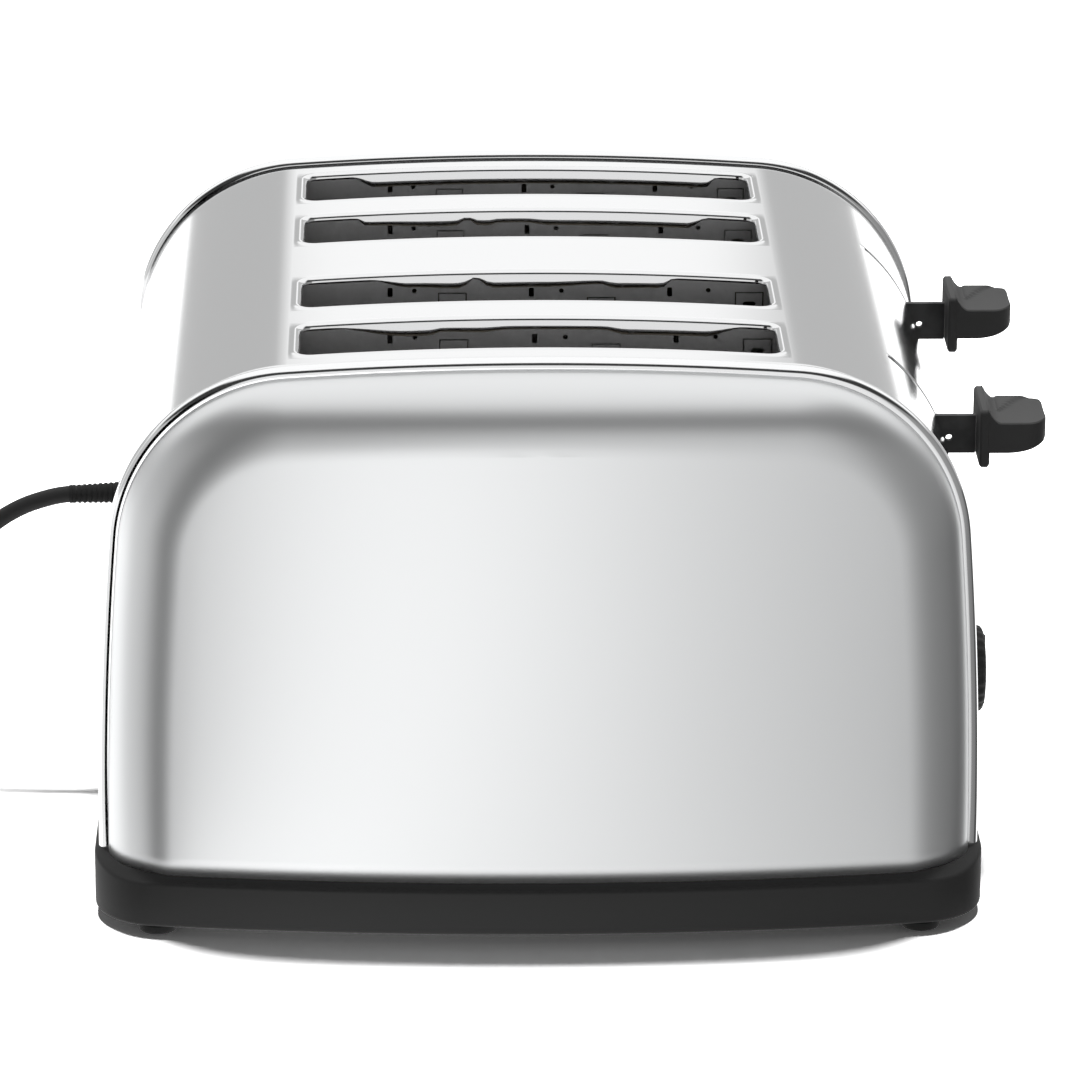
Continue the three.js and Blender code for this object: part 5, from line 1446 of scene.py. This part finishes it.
class TOASTER_OT_levers(bpy.types.Operator):
    """Add the thumb pieces of the two lift levers."""
    bl_idname = "toaster.levers"
    bl_label = "Levers"

    # Shares of the thumb piece's length at which it has a ring, closer together at the tip
    stops = (-0.04, 0.0, 0.03, 0.06, 0.1, 0.14, 0.18, 0.22, 0.26, 0.31, 0.37, 0.44, 0.5, 0.56,
             0.62, 0.67, 0.72, 0.77, 0.81, 0.85, 0.89, 0.92, 0.95, 0.97, 0.985, 0.995, 1.0)

    def execute(self, context):
        controls = context.scene.toaster_controls
        for name, _ in SIDES:
            low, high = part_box(f"lever_knob_{name}")
            middle = (low.y + high.y) / 2
            start, tip = low.x, high.x
            plate_end = start + controls.plate_thickness
            plate_mid, plate_half = (low.z + high.z) / 2, (high.z - low.z) / 2
            half = (high.y - low.y) / 2
            rounding = 0.0006
            plate = [flat_ring(0, x, (middle, plate_mid),
                               round_outline(half - inset, plate_half - inset, 0.0013, 5))
                     for inset, x in ((rounding, start), (0.0, start + rounding),
                                      (0.0, plate_end - rounding), (rounding, plate_end))]
            thumb = self.thumb(controls, plate_end, tip, middle, half - 0.0001, low.z)
            add_shape(f"thumb_piece_{name}", merged([loft(plate), thumb]), 32, f"{name}_lift",
                      lever_plastic(), (f"lever_knob_{name}",))
        return {"FINISHED"}

    def thumb(self, controls, start, tip, middle, half, foot):
        """The thumb piece: dished top with a crescent step, underside that rises to the tip."""
        span = tip - start
        corner = controls.thumb_corner
        across = spread(-1.0, 1.0, 48)
        under = spread(1.0, -1.0, 12)
        rings = []
        for along in self.stops:
            x = start + along * span
            back = max(0.0, x - (tip - corner)) / corner
            wide = half - corner * (1 - math.sqrt(max(0.0, 1 - back * back)))
            ease = max(0.0, along - 0.94) / 0.06
            bottom = foot + 0.0043 + 0.0033 * max(0.0, along - 0.3) ** 2 / 0.49 + 0.001 * ease ** 2
            ring = []
            for side in across:
                top = self.top_height(controls, along, side, foot) - 0.0008 * ease * ease
                edge = max(0.0, abs(side) - 0.96) / 0.04
                ring.append(Vector((x, middle + wide * side, top - 0.0004 * edge * edge)))
            for side in under:
                edge = max(0.0, abs(side) - 0.85) / 0.15
                ring.append(Vector((x, middle + wide * side * 0.997,
                                    bottom + 0.0006 * edge * edge)))
            rings.append(ring)
        return loft(rings)

    def top_height(self, controls, along, side, foot):
        """The top's height: it rises to the plate and the tip, is dished, and has the step."""
        height = foot + 0.0146
        height += 0.0030 * max(0.0, 1 - along / 0.2) ** 2
        height += 0.0008 * max(0.0, along - 0.7) ** 2 / 0.09
        height -= 0.0003 * (1 - side * side)
        line = math.sin(math.pi / 2 * clamped((along - 0.22) / 0.59))
        step = clamped((side - line) / 0.06 + 0.5)
        fade = clamped((along - 0.16) / 0.06) * clamped((0.84 - along) / 0.06)
        return height + controls.step_height * step * fade


class TOASTER_OT_dials(bpy.types.Operator):
    """Add the fluted browning dials."""
    bl_idname = "toaster.dials"
    bl_label = "Browning dials"

    def execute(self, context):
        controls = context.scene.toaster_controls
        for name, _ in SIDES:
            low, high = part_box(f"browning_knob_{name}")
            middle = (low + high) / 2
            radius, deep = controls.knob_radius, high.x - low.x
            face = deep * 0.9
            flute = 0.0005
            # Radius, height above the wall, and how much of the flutes' depth shows
            profile = [(0.0033, 0.0, 0), (radius - 0.0008, 0.0, 0), (radius, 0.0008, 0),
                       (radius - 0.0001, 0.0016, 0), (radius - 0.0003, 0.0021, 1),
                       (radius - 0.0006, deep * 0.6, 1), (radius - 0.0010, deep * 0.76, 1),
                       (radius - 0.0019, deep * 0.85, 0.4), (radius - 0.0030, face, 0),
                       (radius - 0.0042, face, 0), (radius - 0.0052, face - 0.0005, 0),
                       (radius * 0.45, face - 0.0007, 0), (0.0, face - 0.0007, 0)]
            segments = controls.knob_flutes * 8
            rings = []
            for r, height, fluted in profile:
                ring = []
                for k in range(segments):
                    turn = 2 * math.pi * k / segments
                    wave = (1 - math.cos(turn * controls.knob_flutes)) / 2
                    reach = max(r - flute * fluted * wave, 1e-6)
                    ring.append(Vector((low.x + height, middle.y + reach * math.cos(turn),
                                        middle.z + reach * math.sin(turn))))
                rings.append(ring)
            mark = [flat_ring(0, low.x + face + rise, (middle.y, middle.z + 0.0078),
                              round_outline(0.0008 - inset, 0.0034 - inset, 0.0004, 4))
                    for inset, rise in ((0.0, -0.001), (0.0, 0.0002), (0.0003, 0.0005))]
            add_shape(f"fluted_dial_{name}", merged([loft(rings), loft(mark)]), 38,
                      f"{name}_dial", black_plastic(),
                      (f"browning_knob_{name}",))
        return {"FINISHED"}


class TOASTER_OT_buttons(bpy.types.Operator):
    """Add the six push buttons."""
    bl_idname = "toaster.buttons"
    bl_label = "Buttons"

    def execute(self, context):
        dish = context.scene.toaster_controls.button_dish
        for name, _ in SIDES:
            for label in BUTTONS:
                low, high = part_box(f"{label}_button_{name}")
                middle = (low + high) / 2
                half_y, half_z = (high.y - low.y) / 2, (high.z - low.z) / 2
                rings = [flat_ring(0, x, (middle.y, middle.z),
                                   round_outline(half_y - inset, half_z - inset,
                                                 half_z - inset - 0.00001, 10))
                         for inset, x in ((0.0, low.x), (0.0, high.x - 0.0009),
                                          (0.0002, high.x - 0.0004), (0.0006, high.x - 0.0001),
                                          (0.0010, high.x), (0.0014, high.x - 0.0001),
                                          (0.0022, high.x - dish * 0.7),
                                          (0.0031, high.x - dish))]
                add_shape(f"button_{label}_{name}", loft(rings), 40, f"{name}_{label}",
                          black_plastic(), (f"{label}_button_{name}",))
        return {"FINISHED"}


class TOASTER_OT_guards(bpy.types.Operator):
    """Build the bread guards: upright wires with a bar, and pierced strips up to the lips."""
    bl_idname = "toaster.guards"
    bl_label = "Bread guards"

    # Along the strips, from the middle: windows, tabs with their height, and round holes
    windows = (-0.0451, -0.0009, 0.0424)
    tabs = ((-0.0256, 0.1692), (0.021, 0.1677), (0.0674, 0.1692))
    holes = (-0.0375, 0.0085, 0.0545)

    # In metres: the windows' and holes' height, the wires' radius, the bar's rise, the strips'
    # gap from the slot and their sheet, and the end plates' sheet and width
    window_height = 0.1693
    hole_height = 0.1698
    wire = 0.0009
    bar_rise = 0.004
    strip_gap = 0.0007
    strip_sheet = 0.0006
    plate_sheet = 0.001
    plate_width = 0.004

    def execute(self, context):
        slots = context.scene.toaster_slots
        body = context.scene.toaster_body
        arch = Arch(body, body.bead_rise)
        for number, middle in enumerate(slot_middles(slots), 1):
            name = f"bread_guard_{number}"
            low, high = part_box(name)
            parts = []
            for side in (-1, 1):
                parts += self.wires(slots, low, high, middle + side * slots.slot_width / 2)
            outer = slots.slot_width / 2 + 0.0018
            inner, under = outer - self.plate_width, high.z - self.plate_width
            legs = [(-outer, low.z), (-inner, low.z), (-inner, under), (inner, under),
                    (inner, low.z), (outer, low.z), (outer, high.z), (-outer, high.z)]
            for ends in ((low.x, low.x + self.plate_sheet), (high.x - self.plate_sheet, high.x)):
                parts.append(prism(0, ends, legs, (middle, 0)))
            work = bmesh.new()
            work.from_mesh(new_mesh("guard_wires", *merged(parts)))
            for side in (-1, 1):
                near = middle + side * (slots.slot_width / 2 + self.strip_gap)
                far = near + side * self.strip_sheet
                work.from_mesh(self.strip(arch, low, high, min(near, far), max(near, far)))
            data = bpy.data.meshes.new(name)
            work.to_mesh(data)
            work.free()
            smooth(data, 40)
            add_piece(name, data, "housing", guard_steel(), (name,))
        return {"FINISHED"}

    def wires(self, slots, low, high, y):
        """The upright wires on one side of a slot, and the bar along their feet."""
        radius = self.wire
        bar = high.x - low.x - self.plate_sheet
        parts = [turned([(0.0, 0.0), (radius, 0.0), (radius, bar), (0.0, bar)],
                        (low.x + self.plate_sheet / 2, y, low.z + self.bar_rise), (1, 0, 0), 12)]
        middle = (low.x + high.x) / 2
        for k in range(5):
            x = middle + slots.slot_length / 2 * (0.4 * k - 0.8)
            parts.append(turned([(0.0, 0.0), (radius, 0.0002), (radius, high.z - low.z - 0.0002),
                                 (0.0, high.z - low.z)], (x, y, low.z), (0, 0, 1), 12))
        return parts

    def strip(self, arch, low, high, y0, y1):
        """One pierced strip below a long side of a slot's lip."""
        foot = high.z - self.plate_width
        places = spread(low.x - arch.middle, high.x - arch.middle, 16)
        top = [(arch.middle + u, arch.at(u)[1] - 0.0021) for u in places]
        ring = [(low.x, foot), (high.x, foot)] + top[::-1]
        outlines = []

        def pierce(u, height, outline):
            outlines.append([(u + a, height + b) for a, b in outline])

        for u in self.windows:
            pierce(u, self.window_height, round_outline(0.0008, 0.0015, 0.0004, 3))
        for u in self.holes:
            pierce(u, self.hole_height, round_outline(0.00075, 0.00075, 0.00075, 5))
        # A tab is cut free by a narrow arch, and has a round-ended hole
        edge, kerf = 0.0045, 0.0004
        start = foot + 0.004
        for u, height in self.tabs:
            left, right, crest = u - edge + kerf, u + edge - kerf, height - kerf
            outlines.append([(u - edge, start), (left, start), (left, crest), (right, crest),
                             (right, start), (u + edge, start), (u + edge, height),
                             (u - edge, height)])
            pierce(u, height - 0.004, round_outline(0.002, 0.0009, 0.0009, 4))
        cutters = [prism(1, (y0 - 0.001, y1 + 0.001), outline, (arch.middle, 0))
                   for outline in outlines]
        return cut(new_mesh("guard_strip", *prism(1, (y0, y1), ring)), merged(cutters))


class TOASTER_OT_springs(bpy.types.Operator):
    """Wind the return springs, which stretch between bracket and carriage."""
    bl_idname = "toaster.springs"
    bl_label = "Return springs"

    def execute(self, context):
        # Radius of the wire, turns, steps in a turn, and sides of the wire
        wire, turns, steps, sides = 0.00045, 9, 28, 8
        for name, _ in SIDES:
            node = f"return_spring_{name}"
            low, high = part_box(node)
            middle = (low + high) / 2
            radius = (high.y - low.y) / 2 - wire
            rise = high.z - low.z - 2 * wire
            rings = []
            for k in range(turns * steps + 1):
                turn = 2 * math.pi * k / steps
                outward = Vector((math.cos(turn), math.sin(turn), 0))
                centre = Vector((middle.x, middle.y, low.z + wire + rise * k / (turns * steps)))
                centre += outward * radius
                rings.append([centre + outward * (wire * math.cos(2 * math.pi * j / sides))
                              + Vector((0, 0, wire * math.sin(2 * math.pi * j / sides)))
                              for j in range(sides)])
            mesh = new_mesh(node, *loft(rings), crease=60)
            piece = bpy.data.objects.new(node, mesh)
            context.scene.collection.objects.link(piece)
            mesh.materials.append(plated_steel())
            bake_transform(piece)
            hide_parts(node)
        return {"FINISHED"}


class TOASTER_OT_working_parts(bpy.types.Operator):
    """Finish the CAD pieces that are kept: bulkheads, racks, carriages, trays and the rest."""
    bl_idname = "toaster.working_parts"
    bl_label = "Working parts"

    def execute(self, context):
        # The start of the nodes' names, their material, and how far their edges are rounded
        kept = {
            "chamber_": (dark_steel, 0.0002), "bread_rack_": (plated_steel, 0.0001),
            "carriage_": (plated_steel, 0.0002), "lever_stem_": (stem_paint, 0.0003),
            "guide_rod_": (plated_steel, 0.0), "latch_magnet_": (copper_winding, 0.0003),
            "control_board_": (circuit_board, 0.0002), "dial_shaft_": (plated_steel, 0.0),
            "crumb_tray_": (dark_steel, 0.0003), "heater_": (mica, 0.0),
        }
        for prefix, (maker, edge) in kept.items():
            for name, node in frame["nodes"].items():
                if name.startswith(prefix):
                    node.data.materials.clear()
                    node.data.materials.append(maker())
                    smooth(node.data, 40)
                    if edge:
                        soften(node, edge)
        return {"FINISHED"}


PIECES = (TOASTER_OT_stage, TOASTER_OT_plug, TOASTER_OT_cord, TOASTER_OT_wrap, TOASTER_OT_beads,
          TOASTER_OT_panels, TOASTER_OT_base, TOASTER_OT_levers, TOASTER_OT_dials,
          TOASTER_OT_buttons, TOASTER_OT_guards, TOASTER_OT_springs, TOASTER_OT_working_parts)


class TOASTER_PT_pieces(bpy.types.Panel):
    """Lists the pieces of the toaster."""
    bl_idname = "TOASTER_PT_pieces"
    bl_label = "Toaster"
    bl_space_type = "VIEW_3D"
    bl_region_type = "UI"
    bl_category = "Toaster"

    def draw(self, context):
        for piece in PIECES:
            self.layout.operator(piece.bl_idname, text=piece.bl_label)


def register():
    for name, group_class in GROUPS.items():
        bpy.utils.register_class(group_class)
        setattr(bpy.types.Scene, f"toaster_{name}", PointerProperty(type=group_class))
    for piece in (*PIECES, TOASTER_PT_pieces):
        bpy.utils.register_class(piece)


def unregister():
    for piece in reversed((*PIECES, TOASTER_PT_pieces)):
        bpy.utils.unregister_class(piece)
    for name, group_class in reversed(GROUPS.items()):
        delattr(bpy.types.Scene, f"toaster_{name}")
        bpy.utils.unregister_class(group_class)


def main():
    register()
    for piece in PIECES:
        action = piece.bl_idname.split(".")[1]
        if getattr(bpy.ops.toaster, action)() != {"FINISHED"}:
            raise RuntimeError(f"{piece.bl_label} wasn't built")


if __name__ == "__main__":
    main()
